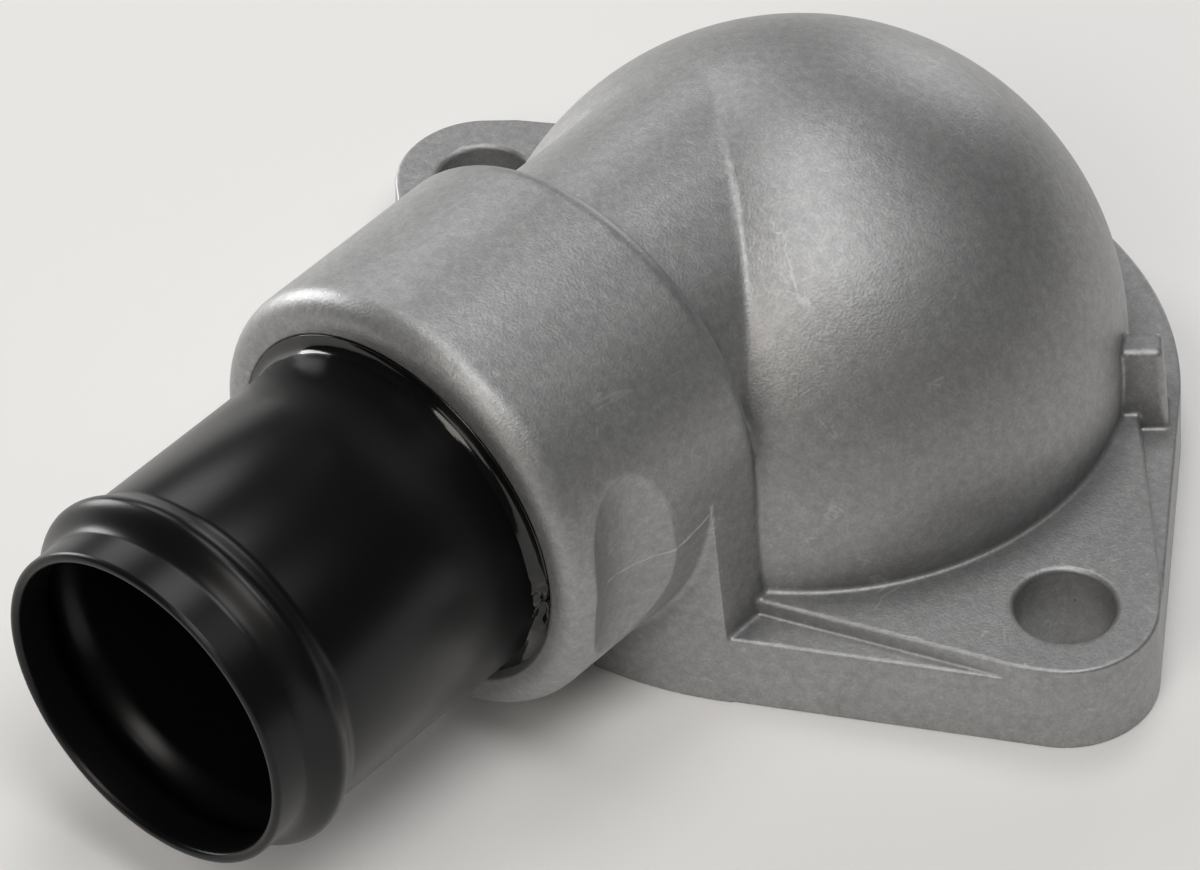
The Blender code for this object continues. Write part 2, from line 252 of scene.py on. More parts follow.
@dataclass
class Net:
    """A closed triangle mesh that is pulled onto a surface and made finer where it bends.

    Attributes:
        surface: The function that gives the surface seen from a set of points.
        points: The mesh's corners.
        triangles: Three corners for each face, outward side anticlockwise.
    """

    surface: Callable[[np.ndarray], Surface]
    points: np.ndarray
    triangles: np.ndarray

    @classmethod
    def over(
        cls,
        surface: Callable[[np.ndarray], Surface],
        low: Sequence[float],
        high: Sequence[float],
        cell: float,
    ) -> "Net":
        """Lay a net of even squares over a surface.

        Args:
            surface: The function that gives the surface seen from a set of points.
            low: The lowest corner of a box that clears the solid.
            high: The highest corner of that box.
            cell: The squares' size.

        Returns:
            The net, near the surface but not yet on it.
        """
        axes = [np.arange(a, b + cell, cell) for a, b in zip(low, high)]
        shape = tuple(len(a) for a in axes)
        grid = np.stack(np.meshgrid(*axes, indexing="ij"), axis=-1).reshape(-1, 3)
        values = np.concatenate([surface(part).distance for part in np.array_split(grid, 8)])
        values = values.reshape(shape)
        inside = values < 0.0
        total = np.zeros((*[n - 1 for n in shape], 3))
        count = np.zeros([n - 1 for n in shape])
        quads = []
        for axis in range(3):
            others = [a for a in range(3) if a != axis]
            first = np.take(values, range(shape[axis] - 1), axis)
            second = np.take(values, range(1, shape[axis]), axis)
            crossed = (first < 0.0) != (second < 0.0)
            share = np.where(crossed, first / np.where(crossed, first - second, 1.0), 0.0)
            for a in (0, 1):
                for b in (0, 1):
                    window = [slice(None)] * 3
                    window[others[0]] = slice(a, shape[others[0]] - 1 + a)
                    window[others[1]] = slice(b, shape[others[1]] - 1 + b)
                    here = crossed[tuple(window)]
                    count += here
                    total[..., axis] += share[tuple(window)]
                    total[..., others[0]] += a * here
                    total[..., others[1]] += b * here
            window = [slice(None)] * 3
            window[others[0]] = slice(1, shape[others[0]] - 1)
            window[others[1]] = slice(1, shape[others[1]] - 1)
            spots = np.argwhere(crossed[tuple(window)])
            spots[:, others[0]] += 1
            spots[:, others[1]] += 1
            ring = []
            for a, b in ((0, 0), (1, 0), (1, 1), (0, 1)):
                cells = spots.copy()
                cells[:, others[0]] -= a
                cells[:, others[1]] -= b
                ring.append(np.ravel_multi_index(cells.T, count.shape))
            ring = np.stack(ring, axis=1)
            backwards = inside[tuple(spots.T)] != (axis == 1)
            quads.append(np.where(backwards[:, None], ring[:, ::-1], ring))
        used = np.flatnonzero(count.ravel() > 0)
        place = np.full(count.size, -1)
        place[used] = np.arange(len(used))
        middle = total.reshape(-1, 3)[used] / count.ravel()[used, None]
        corner = np.stack(np.unravel_index(used, count.shape), axis=1)
        points = np.array([a[0] for a in axes]) + (corner + middle) * cell
        quads = place[np.concatenate(quads)]
        triangles = np.concatenate([quads[:, [0, 1, 2]], quads[:, [0, 2, 3]]])
        net = cls(surface, points, triangles)
        if net.volume() < 0.0:
            net.triangles = net.triangles[:, ::-1]
        return net

    def volume(self) -> float:
        """Return the volume that the net encloses, negative if it is inside out."""
        a, b, c = (self.points[self.triangles[:, i]] for i in range(3))
        return float(np.einsum("ij,ij->", a, np.cross(b, c)) / 6.0)

    def edges(self) -> tuple[np.ndarray, np.ndarray]:
        """Return each edge's two corners, and each triangle's three edges."""
        ends = np.stack([self.triangles, np.roll(self.triangles, -1, axis=1)], axis=2)
        ends = np.sort(ends, axis=2).astype(np.int64)
        count = len(self.points)
        keys, rows = np.unique((ends[..., 0] * count + ends[..., 1]).ravel(), return_inverse=True)
        return np.stack([keys // count, keys % count], axis=1), rows.reshape(-1, 3)

    def settle(self, steps: int = 2) -> Surface:
        """Pull the corners onto the surface, and return it as seen from them."""
        for _ in range(steps):
            seen = self.surface(self.points)
            self.points = self.points - seen.distance[:, None] * seen.normal
        return seen

    def flip(self, rounds: int = 2) -> None:
        """Swap the diagonal of neighbouring triangles where that fits the surface better.

        Args:
            rounds: How many times the whole net is gone through.
        """
        normal = self.surface(self.points).normal
        for _ in range(rounds):
            ends, rows = self.edges()
            sides = np.argsort(rows.ravel(), kind="stable").reshape(-1, 2)
            first, second = sides[:, 0] // 3, sides[:, 1] // 3
            turn = sides[:, 0] % 3
            a = self.triangles[first, turn]
            b = self.triangles[first, (turn + 1) % 3]
            c = self.triangles[first, (turn + 2) % 3]
            d = self.triangles[second, (sides[:, 1] % 3 + 2) % 3]
            keys = ends[:, 0] * len(self.points) + ends[:, 1]
            across = np.minimum(c, d) * len(self.points) + np.maximum(c, d)
            now = np.minimum(self.fit(normal, a, b, c), self.fit(normal, b, a, d))
            then = np.minimum(self.fit(normal, c, d, b), self.fit(normal, d, c, a))
            wide = self.corner(c, a, b) + self.corner(d, a, b) < WIDE_PAIR
            better = (wide & (then > now - FIT_SLACK)) | (then > now + FIT_GAIN)
            better &= ~np.isin(across, keys) & (c != d)
            gain = np.where(better, then - now + 2.0, 0.0)
            best = np.zeros(len(self.triangles))
            np.maximum.at(best, first, gain)
            np.maximum.at(best, second, gain)
            chosen = better & (gain >= best[first]) & (gain >= best[second])
            owners = np.concatenate([first[chosen], second[chosen]])
            lone = np.bincount(owners, minlength=len(self.triangles)) == 1
            chosen[chosen] = lone[first[chosen]] & lone[second[chosen]]
            fresh, seen = np.unique(across[chosen], return_index=True)
            picked = np.flatnonzero(chosen)[seen]
            self.triangles[first[picked]] = np.stack([c, d, b], axis=1)[picked]
            self.triangles[second[picked]] = np.stack([d, c, a], axis=1)[picked]

    def fit(self, normal: np.ndarray, a: np.ndarray, b: np.ndarray, c: np.ndarray) -> np.ndarray:
        """Return how well triangles face the way that the surface does, 1 at best.

        Args:
            normal: The surface's direction at each corner of the net.
            a: The triangles' first corners.
            b: Their second corners.
            c: Their third corners.

        Returns:
            The cosine between each triangle's direction and the surface's.
        """
        facing = np.cross(self.points[b] - self.points[a], self.points[c] - self.points[a])
        meant = normal[a] + normal[b] + normal[c]
        size = np.linalg.norm(facing, axis=1) * np.linalg.norm(meant, axis=1)
        return np.einsum("ij,ij->i", facing, meant) / np.maximum(size, 1e-18)

    def corner(self, tip: np.ndarray, a: np.ndarray, b: np.ndarray) -> np.ndarray:
        """Return the cosine of the angle at which two corners are seen from a third."""
        one, two = self.points[a] - self.points[tip], self.points[b] - self.points[tip]
        size = np.linalg.norm(one, axis=1) * np.linalg.norm(two, axis=1)
        return np.einsum("ij,ij->i", one, two) / np.maximum(size, 1e-18)

    def relax(self, share: float) -> None:
        """Even out the triangles by sliding corners towards their neighbours' middle.

        Args:
            share: How much of the way each corner goes.
        """
        ends, _ = self.edges()
        count = np.bincount(ends.ravel(), minlength=len(self.points))
        middle = np.empty_like(self.points)
        for axis in range(3):
            weights = np.concatenate([self.points[ends[:, 1], axis], self.points[ends[:, 0], axis]])
            owners = np.concatenate([ends[:, 0], ends[:, 1]])
            middle[:, axis] = np.bincount(owners, weights, len(self.points))
        shift = middle / count[:, None] - self.points
        normal = self.surface(self.points).normal
        shift -= np.einsum("ij,ij->i", shift, normal)[:, None] * normal
        self.points = self.points + share * shift
        self.settle(1)

    def refine(
        self,
        bend: float,
        shortest: Callable[[np.ndarray], np.ndarray],
        longest: Callable[[np.ndarray], np.ndarray],
    ) -> int:
        """Split the edges that turn too far or are longer than their place allows.

        Args:
            bend: The greatest turn of the surface along an edge, in radians.
            shortest: The function that gives the length below which a turn splits no edge.
            longest: The function that gives the greatest length at each point.

        Returns:
            How many edges were split.
        """
        ends, rows = self.edges()
        normal = self.surface(self.points).normal
        first, second = self.points[ends[:, 0]], self.points[ends[:, 1]]
        length = np.linalg.norm(second - first, axis=1)
        turn = np.einsum("ij,ij->i", normal[ends[:, 0]], normal[ends[:, 1]])
        middle = (first + second) / 2.0
        marked = (turn < math.cos(bend)) & (length > shortest(middle)) | (length > longest(middle))
        fresh = np.full(len(ends), -1)
        fresh[marked] = len(self.points) + np.arange(int(marked.sum()))
        self.points = np.concatenate([self.points, middle[marked]])
        self.split(fresh[rows])
        return int(marked.sum())

    def split(self, middles: np.ndarray) -> None:
        """Divide each triangle at the middles of its marked edges.

        Args:
            middles: The new corner on each triangle's three edges, or -1 for none.
        """
        count = (middles >= 0).sum(axis=1)
        made = [self.triangles[count == 0]]
        for k in range(3):
            turn = [k, (k + 1) % 3, (k + 2) % 3]
            one = (count == 1) & (middles[:, k] >= 0)
            a, b, c = self.triangles[one][:, turn].T
            ab = middles[one, k]
            made += [np.stack([a, ab, c], axis=1), np.stack([ab, b, c], axis=1)]
            two = (count == 2) & (middles[:, k] < 0)
            a, b, c = self.triangles[two][:, turn].T
            bc, ca = middles[two][:, turn[1]], middles[two][:, turn[2]]
            made.append(np.stack([ca, bc, c], axis=1))
            straight = self.gap(a, bc) < self.gap(b, ca)
            made.append(np.stack([a, b, np.where(straight, bc, ca)], axis=1))
            made.append(np.stack([np.where(straight, a, b), bc, ca], axis=1))
        three = count == 3
        a, b, c = self.triangles[three].T
        ab, bc, ca = middles[three].T
        made += [np.stack(t, axis=1) for t in ((a, ab, ca), (ab, b, bc), (ca, bc, c), (ab, bc, ca))]
        self.triangles = np.concatenate(made)

    def gap(self, first: np.ndarray, second: np.ndarray) -> np.ndarray:
        """Return the distances between two rows of corners."""
        return np.linalg.norm(self.points[first] - self.points[second], axis=1)

    def mesh(self, name: str, shift: Vector) -> bpy.types.Mesh:
        """Return the net as a smooth mesh that is shaded by the surface's own directions.

        Args:
            name: The mesh's name.
            shift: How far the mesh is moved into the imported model's frame.

        Returns:
            The finished mesh.
        """
        mesh = bpy.data.meshes.new(name)
        mesh.vertices.add(len(self.points))
        placed = self.points + np.array(shift)
        mesh.vertices.foreach_set("co", placed.astype(np.float32).ravel())
        mesh.loops.add(self.triangles.size)
        mesh.loops.foreach_set("vertex_index", self.triangles.astype(np.int32).ravel())
        mesh.polygons.add(len(self.triangles))
        starts = np.arange(0, self.triangles.size, 3, dtype=np.int32)
        mesh.polygons.foreach_set("loop_start", starts)
        mesh.update(calc_edges=True)
        mesh.validate()
        mesh.shade_smooth()
        mesh.normals_split_custom_set_from_vertices(self.surface(self.points).normal.tolist())
        return mesh


class Mark(Enum):
    """What the casting's mesh tells its finish, by the name of the attribute."""

    OPENNESS = "openness"
    MACHINED = "machined"
    FLASH = "flash"


# The pieces


@dataclass(frozen=True)
class Ear:
    """One bolt ear of the flange.

    Attributes:
        name: The side it is on.
        angle: The direction of its hole from the dome's axis, in radians.
        distance: The distance of its hole from the dome's axis.
    """

    name: str
    angle: float
    distance: float

    def place(self) -> tuple[float, float]:
        """Return the plan position of the hole."""
        return (self.distance * math.cos(self.angle), self.distance * math.sin(self.angle))


@dataclass(frozen=True)
class NeckLine:
    """The sizes that the casting's neck, the tube and the sealant share.

    Attributes:
        side_offset: How far the neck's axis lies to the left of the dome's.
        height: The axis's height above the sealing face.
        mouth: The distance of the collar's mouth from the dome's axis.
        tube_radius: The outer radius of the hose tube.
        fit_gap: The clearance round the tube in its socket.
        socket_end: Where the tube's socket stops, from the dome's axis.
        chamfer: The width of the chamfer in the mouth.
    """

    side_offset: float = 0.0066
    height: float = 0.0263
    mouth: float = 0.0554
    tube_radius: float = 0.0190
    fit_gap: float = 0.0003
    socket_end: float = 0.0334
    chamfer: float = 0.0014

    @property
    def socket_radius(self) -> float:
        """Return the radius of the socket that holds the tube."""
        return self.tube_radius + self.fit_gap

    def at(self, along: float, side: float = 0.0, up: float = 0.0) -> tuple[float, float, float]:
        """Return the point a distance along the neck's axis, moved to its side and up."""
        return (side - self.side_offset, -along, self.height + up)


@dataclass
class CastHousing:
    """The one-piece casting: dome, flange, neck, webs and locating lug."""

    neck: NeckLine
    dome_radius: float = 0.0344
    dome_centre_height: float = 0.0140
    dome_wall: float = 0.0034
    rim_width: float = 0.00585
    plate_thickness: float = 0.0088
    pad_height: float = 0.0107
    pad_margin: float = 0.0007
    ear_radius: float = 0.0100
    pad_ear_radius: float = 0.0104
    bolt_outset: float = 0.00505
    bolt_hole_radius: float = 0.0052
    wall_draft: float = math.radians(1.5)
    seat_radius: float = 0.0330
    seat_depth: float = 0.0032
    collar_radius: float = 0.0246
    collar_rear: float = 0.0273
    hood_radius: float = 0.0198
    hood_shift: tuple[float, float] = (0.0011, 0.0012)
    hood_web_back: float = 0.0120
    parting_height: float = 0.0275
    web_draft: float = math.radians(4.6)
    web_step: float = 0.00015
    web_inset: float = 0.0001
    passage_radius: float = 0.0158
    lug_angle: float = math.radians(30.3)
    lug_turn: float = math.radians(40.0)
    lug_thickness: float = 0.0061
    lug_reach: float = 0.0393
    lug_top: float = 0.0187
    lug_draft: float = math.radians(5.0)
    scoop_along: float = 0.0469
    scoop_radius: float = 0.0099
    scoop_depth: float = 0.0018
    lip_round: float = 0.0030
    collar_rear_round: float = 0.0024
    collar_fillet: float = 0.0007
    dome_fillet: float = 0.0015
    web_fillet: float = 0.0012
    web_fillet_fade: float = 0.0080
    foot_fillet: float = 0.0006
    pad_fillet: float = 0.0003
    lug_fillet: float = 0.0005
    lug_round: float = 0.0008
    edge_round: float = 0.0004
    hole_round: float = 0.0006
    scoop_round: float = 0.0008
    inner_round: float = 0.0008
    flash_height: float = 0.00011
    flash_width: float = 0.00013
    flash_reach: tuple[float, float] = (0.0352, 0.0498)
    flash_level: float = 0.0249
    flash_rise: float = 0.0012
    flash_ripple: float = 0.25
    flash_pace: float = 2600.0
    fine_edge: float = 0.00011
    cell: float = 0.0010
    hidden_edge: float = 0.0005
    # How far out the openness is probed; the openness sets the painted shade in creases
    probe: float = 0.0060
    ears: tuple[Ear, ...] = field(init=False)
    shift: Vector = field(init=False)

    def __post_init__(self) -> None:
        """Work out the ears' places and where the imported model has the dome's axis."""
        self.centre = (0.0, 0.0, self.dome_centre_height)
        self.flange_radius = self.dome_radius + self.rim_width
        distance = self.flange_radius + self.bolt_outset
        self.ears = tuple(Ear(n, math.radians(a), distance) for n, a in EAR_ANGLES.items())
        middle = sum(ear.place()[0] for ear in self.ears) / len(self.ears)
        _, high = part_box("cast_housing")
        self.shift = Vector((-middle, high.y - self.flange_radius, 0.0))

    def flange(self, points: np.ndarray) -> Surface:
        """Return the flange plate with its two raised pads."""
        slope = math.tan(self.wall_draft)
        wall = None
        pads = None
        hub = self.dome_radius + self.pad_margin
        for ear in self.ears:
            outer = lobe(points, ear, self.flange_radius, self.ear_radius, slope)
            wall = outer if wall is None else wall.join(outer, self.pad_fillet)
            pad = lobe(points, ear, hub, self.pad_ear_radius, slope)
            ahead = (math.cos(ear.angle), math.sin(ear.angle), 0.0)
            pad = pad.meet(half_space(points, (0.0, 0.0, 0.0), ahead).flipped())
            pads = pad if pads is None else pads.join(pad)
        plate_top = half_space(points, (0.0, 0.0, self.plate_thickness), UP)
        pad_top = half_space(points, (0.0, 0.0, self.pad_height), UP)
        plate = wall.meet(plate_top, self.edge_round)
        pads = pads.meet(wall).meet(pad_top, self.edge_round)
        return plate.join(pads, self.pad_fillet)

    def neck_body(self, points: np.ndarray) -> Surface:
        """Return the collar and the web under it that stands on the rim."""
        neck = self.neck
        collar = turned(points, neck.at(0.0), OUT_OF_MOUTH, self.collar_radius)
        mouth = half_space(points, neck.at(neck.mouth), OUT_OF_MOUTH)
        rear = half_space(points, neck.at(self.collar_rear), INTO_MOUTH)
        collar = collar.meet(mouth, self.lip_round)
        facing = (math.cos(self.web_draft), 0.0, math.sin(self.web_draft))
        touch = neck.at(0.0, self.collar_radius * facing[0], self.collar_radius * facing[2])
        side = half_space(points, touch, facing)
        radius = self.flange_radius + self.web_step
        rim = turned(points, (0.0, 0.0, 0.0), UP, radius, -math.tan(self.wall_draft))
        web = rim.meet(side, self.web_step).meet(half_space(points, touch, UP))
        fade = np.clip((touch[2] - points[:, 2]) / self.web_fillet_fade, 0.02, 1.0)
        web = collar.join(web, self.web_fillet * fade)
        return web.meet(rear, self.collar_rear_round)

    def hood(self, points: np.ndarray) -> Surface:
        """Return the hood behind the collar with the web that fills the space under it."""
        side, up = self.hood_shift
        neck = self.neck
        axis = neck.at(0.0, side, up)
        front = half_space(points, neck.at(self.collar_rear + self.collar_fillet), OUT_OF_MOUTH)
        arch = domed_post(points, axis, OUT_OF_MOUTH, self.hood_radius)
        half = self.hood_radius - self.web_inset
        walls = half_space(points, axis, UP)
        for way in (-1.0, 1.0):
            facing = (way * math.cos(self.web_draft), 0.0, math.sin(self.web_draft))
            walls = walls.meet(half_space(points, (axis[0] + way * half, 0.0, axis[2]), facing))
        walls = walls.meet(half_space(points, (0.0, -self.hood_web_back, 0.0), INTO_MOUTH))
        return arch.join(walls).meet(front)

    def lug(self, points: np.ndarray) -> Surface:
        """Return the drafted locating lug that stands between the dome and the rim."""
        start = np.array([math.cos(self.lug_angle), math.sin(self.lug_angle), 0.0])
        start *= self.dome_radius - self.dome_wall / 2.0
        out = np.array([math.cos(self.lug_turn), math.sin(self.lug_turn), 0.0])
        across = np.array([-out[1], out[0], 0.0])
        reach = self.lug_reach - float(np.linalg.norm(start))
        reach /= math.cos(self.lug_turn - self.lug_angle)
        lift = np.array([0.0, 0.0, self.plate_thickness / 2.0])
        lean = math.tan(self.lug_draft) * np.array(UP)
        body = half_space(points, start + out * reach + lift, out + lean)
        for way in (-1.0, 1.0):
            spot = start + way * across * self.lug_thickness / 2.0 + lift
            body = body.meet(half_space(points, spot, way * across + lean), self.lug_round)
        body = body.meet(half_space(points, start, -out))
        return body.meet(half_space(points, (0.0, 0.0, self.lug_top), UP), self.lug_round)

    def hollows(self, points: np.ndarray) -> Surface:
        """Return the space inside: the dome's cavity, its seat, the passage and the socket."""
        neck = self.neck
        inner = self.dome_radius - self.dome_wall
        cavity = domed_post(points, self.centre, DOWN, inner)
        seat = turned(points, (0.0, 0.0, 0.0), UP, self.seat_radius)
        seat = seat.meet(half_space(points, (0.0, 0.0, self.seat_depth), UP), self.pad_fillet)
        passage = turned(points, neck.at(0.0), OUT_OF_MOUTH, self.passage_radius)
        passage = passage.meet(half_space(points, neck.at(0.0), INTO_MOUTH))
        socket = turned(points, neck.at(0.0), OUT_OF_MOUTH, neck.socket_radius)
        socket = socket.meet(half_space(points, neck.at(neck.socket_end), INTO_MOUTH))
        flare = neck.at(neck.mouth - neck.chamfer)
        chamfer = turned(points, flare, OUT_OF_MOUTH, neck.socket_radius, 1.0)
        chamfer = chamfer.meet(half_space(points, flare, INTO_MOUTH))
        inside = cavity.join(passage, self.inner_round).join(seat, self.pad_fillet)
        return inside.join(socket, self.pad_fillet).join(chamfer)

    def scoop(self, points: np.ndarray) -> Surface:
        """Return the upright scoop in the neck's side, narrowest at the parting height."""
        reach = self.collar_radius - self.neck.side_offset - self.scoop_depth + self.scoop_radius
        centre = (reach, -self.scoop_along, self.parting_height)
        slope = math.tan(self.web_draft)
        upper = turned(points, centre, UP, self.scoop_radius, slope)
        return upper.join(turned(points, centre, DOWN, self.scoop_radius, slope))

    def flash_profile(self, points: np.ndarray) -> tuple[np.ndarray, np.ndarray]:
        """Return how full the line of flash is at each place, and how it changes with place.

        Args:
            points: The points that look at it.

        Returns:
            Its height as a share of the greatest, and that share's slope along each axis.
        """
        start, end = self.flash_reach
        along = -points[:, 1]
        place = (2.0 * along - start - end) / (end - start)
        line = self.flash_level + self.flash_rise * place * place
        lean = 4.0 * self.flash_rise * place / (end - start)
        away = (points[:, 2] - line) / self.flash_width
        fade = np.clip(np.minimum(along - start, end - along) / (4.0 * self.flash_width), 0.0, 1.0)
        ripple = 1.0 - self.flash_ripple + self.flash_ripple * np.sin(along * self.flash_pace)
        share = fade * ripple * np.exp(-away * away)
        fall = -2.0 * away / self.flash_width * share
        share[points[:, 0] < 0.0] = 0.0
        return share, np.column_stack([np.zeros_like(fall), fall * lean, fall])

    def flash(self, body: Surface, points: np.ndarray) -> Surface:
        """Return the body with the thin line of flash that the die leaves along the neck.

        Args:
            body: The casting's outside.
            points: The points that look at it.

        Returns:
            The outside with the line raised on it.
        """
        share, slope = self.flash_profile(points)
        slope[share == 0.0] = 0.0
        return body.raised(share * self.flash_height, slope * self.flash_height)

    def surface(self, points: np.ndarray) -> Surface:
        """Return the whole casting's surface."""
        body = domed_post(points, self.centre, DOWN, self.dome_radius)
        body = body.join(self.hood(points), self.dome_fillet)
        body = body.join(self.neck_body(points), self.collar_fillet)
        body = body.join(self.flange(points), self.foot_fillet)
        body = body.join(self.lug(points), self.lug_fillet)
        body = body.cut(self.scoop(points), self.scoop_round)
        body = self.flash(body, points)
        body = body.cut(self.hollows(points), self.edge_round)
        for ear in self.ears:
            hole = turned(points, (*ear.place(), 0.0), UP, self.bolt_hole_radius)
            body = body.cut(hole, self.hole_round)
        return body.meet(half_space(points, (0.0, 0.0, 0.0), DOWN), self.edge_round / 2.0)

    def longest(self, points: np.ndarray) -> np.ndarray:
        """Return the greatest edge length that each place allows."""
        share, _ = self.flash_profile(points)
        on_flash = (share > 0.01) & (self.hollows(points).distance > self.edge_round)
        return np.where(on_flash, self.fine_edge, 2.0 * self.cell)

    def shortest(self, points: np.ndarray, shown: float) -> np.ndarray:
        """Return the length below which no edge is split, finer where the casting shows.

        Args:
            points: The middles of the edges.
            shown: The length on the outside.

        Returns:
            The length at each point.
        """
        hidden = self.hollows(points).distance < self.edge_round
        hidden &= points[:, 1] > -self.neck.mouth + self.neck.chamfer
        hidden |= points[:, 2] < self.edge_round
        return np.where(hidden, max(shown, self.hidden_edge), shown)

    def marks(self, points: np.ndarray) -> dict[Mark, np.ndarray]:
        """Return how open each place is, which sets the painted shade in creases, whether its face
        is machined, and the line of flash.

        Args:
            points: Points on the casting's surface.

        Returns:
            The values of each mark, from 0 to 1.
        """
        normal = self.surface(points).normal
        openness = self.surface(points + self.probe * normal).distance / self.probe
        machined = (normal[:, 2] < -0.999) & (points[:, 2] < self.edge_round)
        flash, _ = self.flash_profile(points)
        return {Mark.OPENNESS: openness.clip(0.0, 1.0), Mark.MACHINED: machined, Mark.FLASH: flash}

    def build(self) -> bpy.types.Object:
        """Mesh the casting and return it as an object."""
        far = max(ear.distance for ear in self.ears) + self.ear_radius + 2.0 * self.cell
        low = (-far, -self.neck.mouth - 2.0 * self.cell, -2.0 * self.cell)
        top = self.neck.height + self.collar_radius + 2.0 * self.cell
        high = (far, self.flange_radius + 2.0 * self.cell, top)
        net = Net.over(self.surface, low, high, self.cell)
        net.settle()
        for _ in range(2):
            net.relax(0.6)
            net.flip()
        for bend, shown in REFINING:
            shortest = partial(self.shortest, shown=shown)
            made = net.refine(bend, shortest, self.longest)
            net.settle()
            net.flip()
            net.relax(0.5)
            net.flip()
            log.info("casting: %d edges split, %d triangles", made, len(net.triangles))
        net.relax(0.4)
        net.flip(3)
        net.settle(3)
        mesh = net.mesh("cast_housing_finished", self.shift)
        for mark, values in self.marks(net.points).items():
            attribute = mesh.attributes.new(mark.value, "FLOAT", "POINT")
            attribute.data.foreach_set("value", values.astype(np.float32))
        return link_object("cast_housing_finished", mesh)


def link_object(name: str, mesh: bpy.types.Mesh) -> bpy.types.Object:
    """Return a new object for a mesh, linked to the scene."""
    obj = bpy.data.objects.new(name, mesh)
    bpy.context.scene.collection.objects.link(obj)
    return obj


class NodeTree:
    """A node tree under construction, with short ways to add and wire its nodes."""

    def __init__(self, tree: bpy.types.NodeTree) -> None:
        """Start on an empty tree, or on one whose nodes are kept."""
        self.tree = tree

    @classmethod
    def group(cls, name: str, kind: str) -> "NodeTree":
        """Make a new node group of a kind, such as ShaderNodeTree."""
        return cls(bpy.data.node_groups.new(name, kind))

    def socket(self, name: str, kind: str, default: object = None, out: bool = False) -> str:
        """Add a named socket to the group.

        Args:
            name: The socket's name.
            kind: Its type, such as NodeSocketFloat.
            default: The value that it starts with.
            out: Whether it is an output.

        Returns:
            The socket's identifier.
        """
        way = "OUTPUT" if out else "INPUT"
        made = self.tree.interface.new_socket(name=name, in_out=way, socket_type=kind)
        if default is not None:
            made.default_value = default
        return made.identifier

    def add(self, kind: str, inputs: dict | None = None, **settings: object) -> bpy.types.Node:
        """Add a node.

        Args:
            kind: The node's type.
            inputs: For each input, by name or number, a value or the socket that feeds it.
            settings: The node's own properties.

        Returns:
            The node.
        """
        node = self.tree.nodes.new(kind)
        for key, value in settings.items():
            setattr(node, key, value)
        for key, value in (inputs or {}).items():
            if isinstance(value, bpy.types.NodeSocket):
                self.tree.links.new(value, node.inputs[key])
            else:
                node.inputs[key].default_value = value
        return node

    def math(self, operation: str, *values: object) -> bpy.types.NodeSocket:
        """Add a Math node and return its result."""
        kind = "ShaderNodeMath"
        return self.add(kind, dict(enumerate(values)), operation=operation).outputs[0]


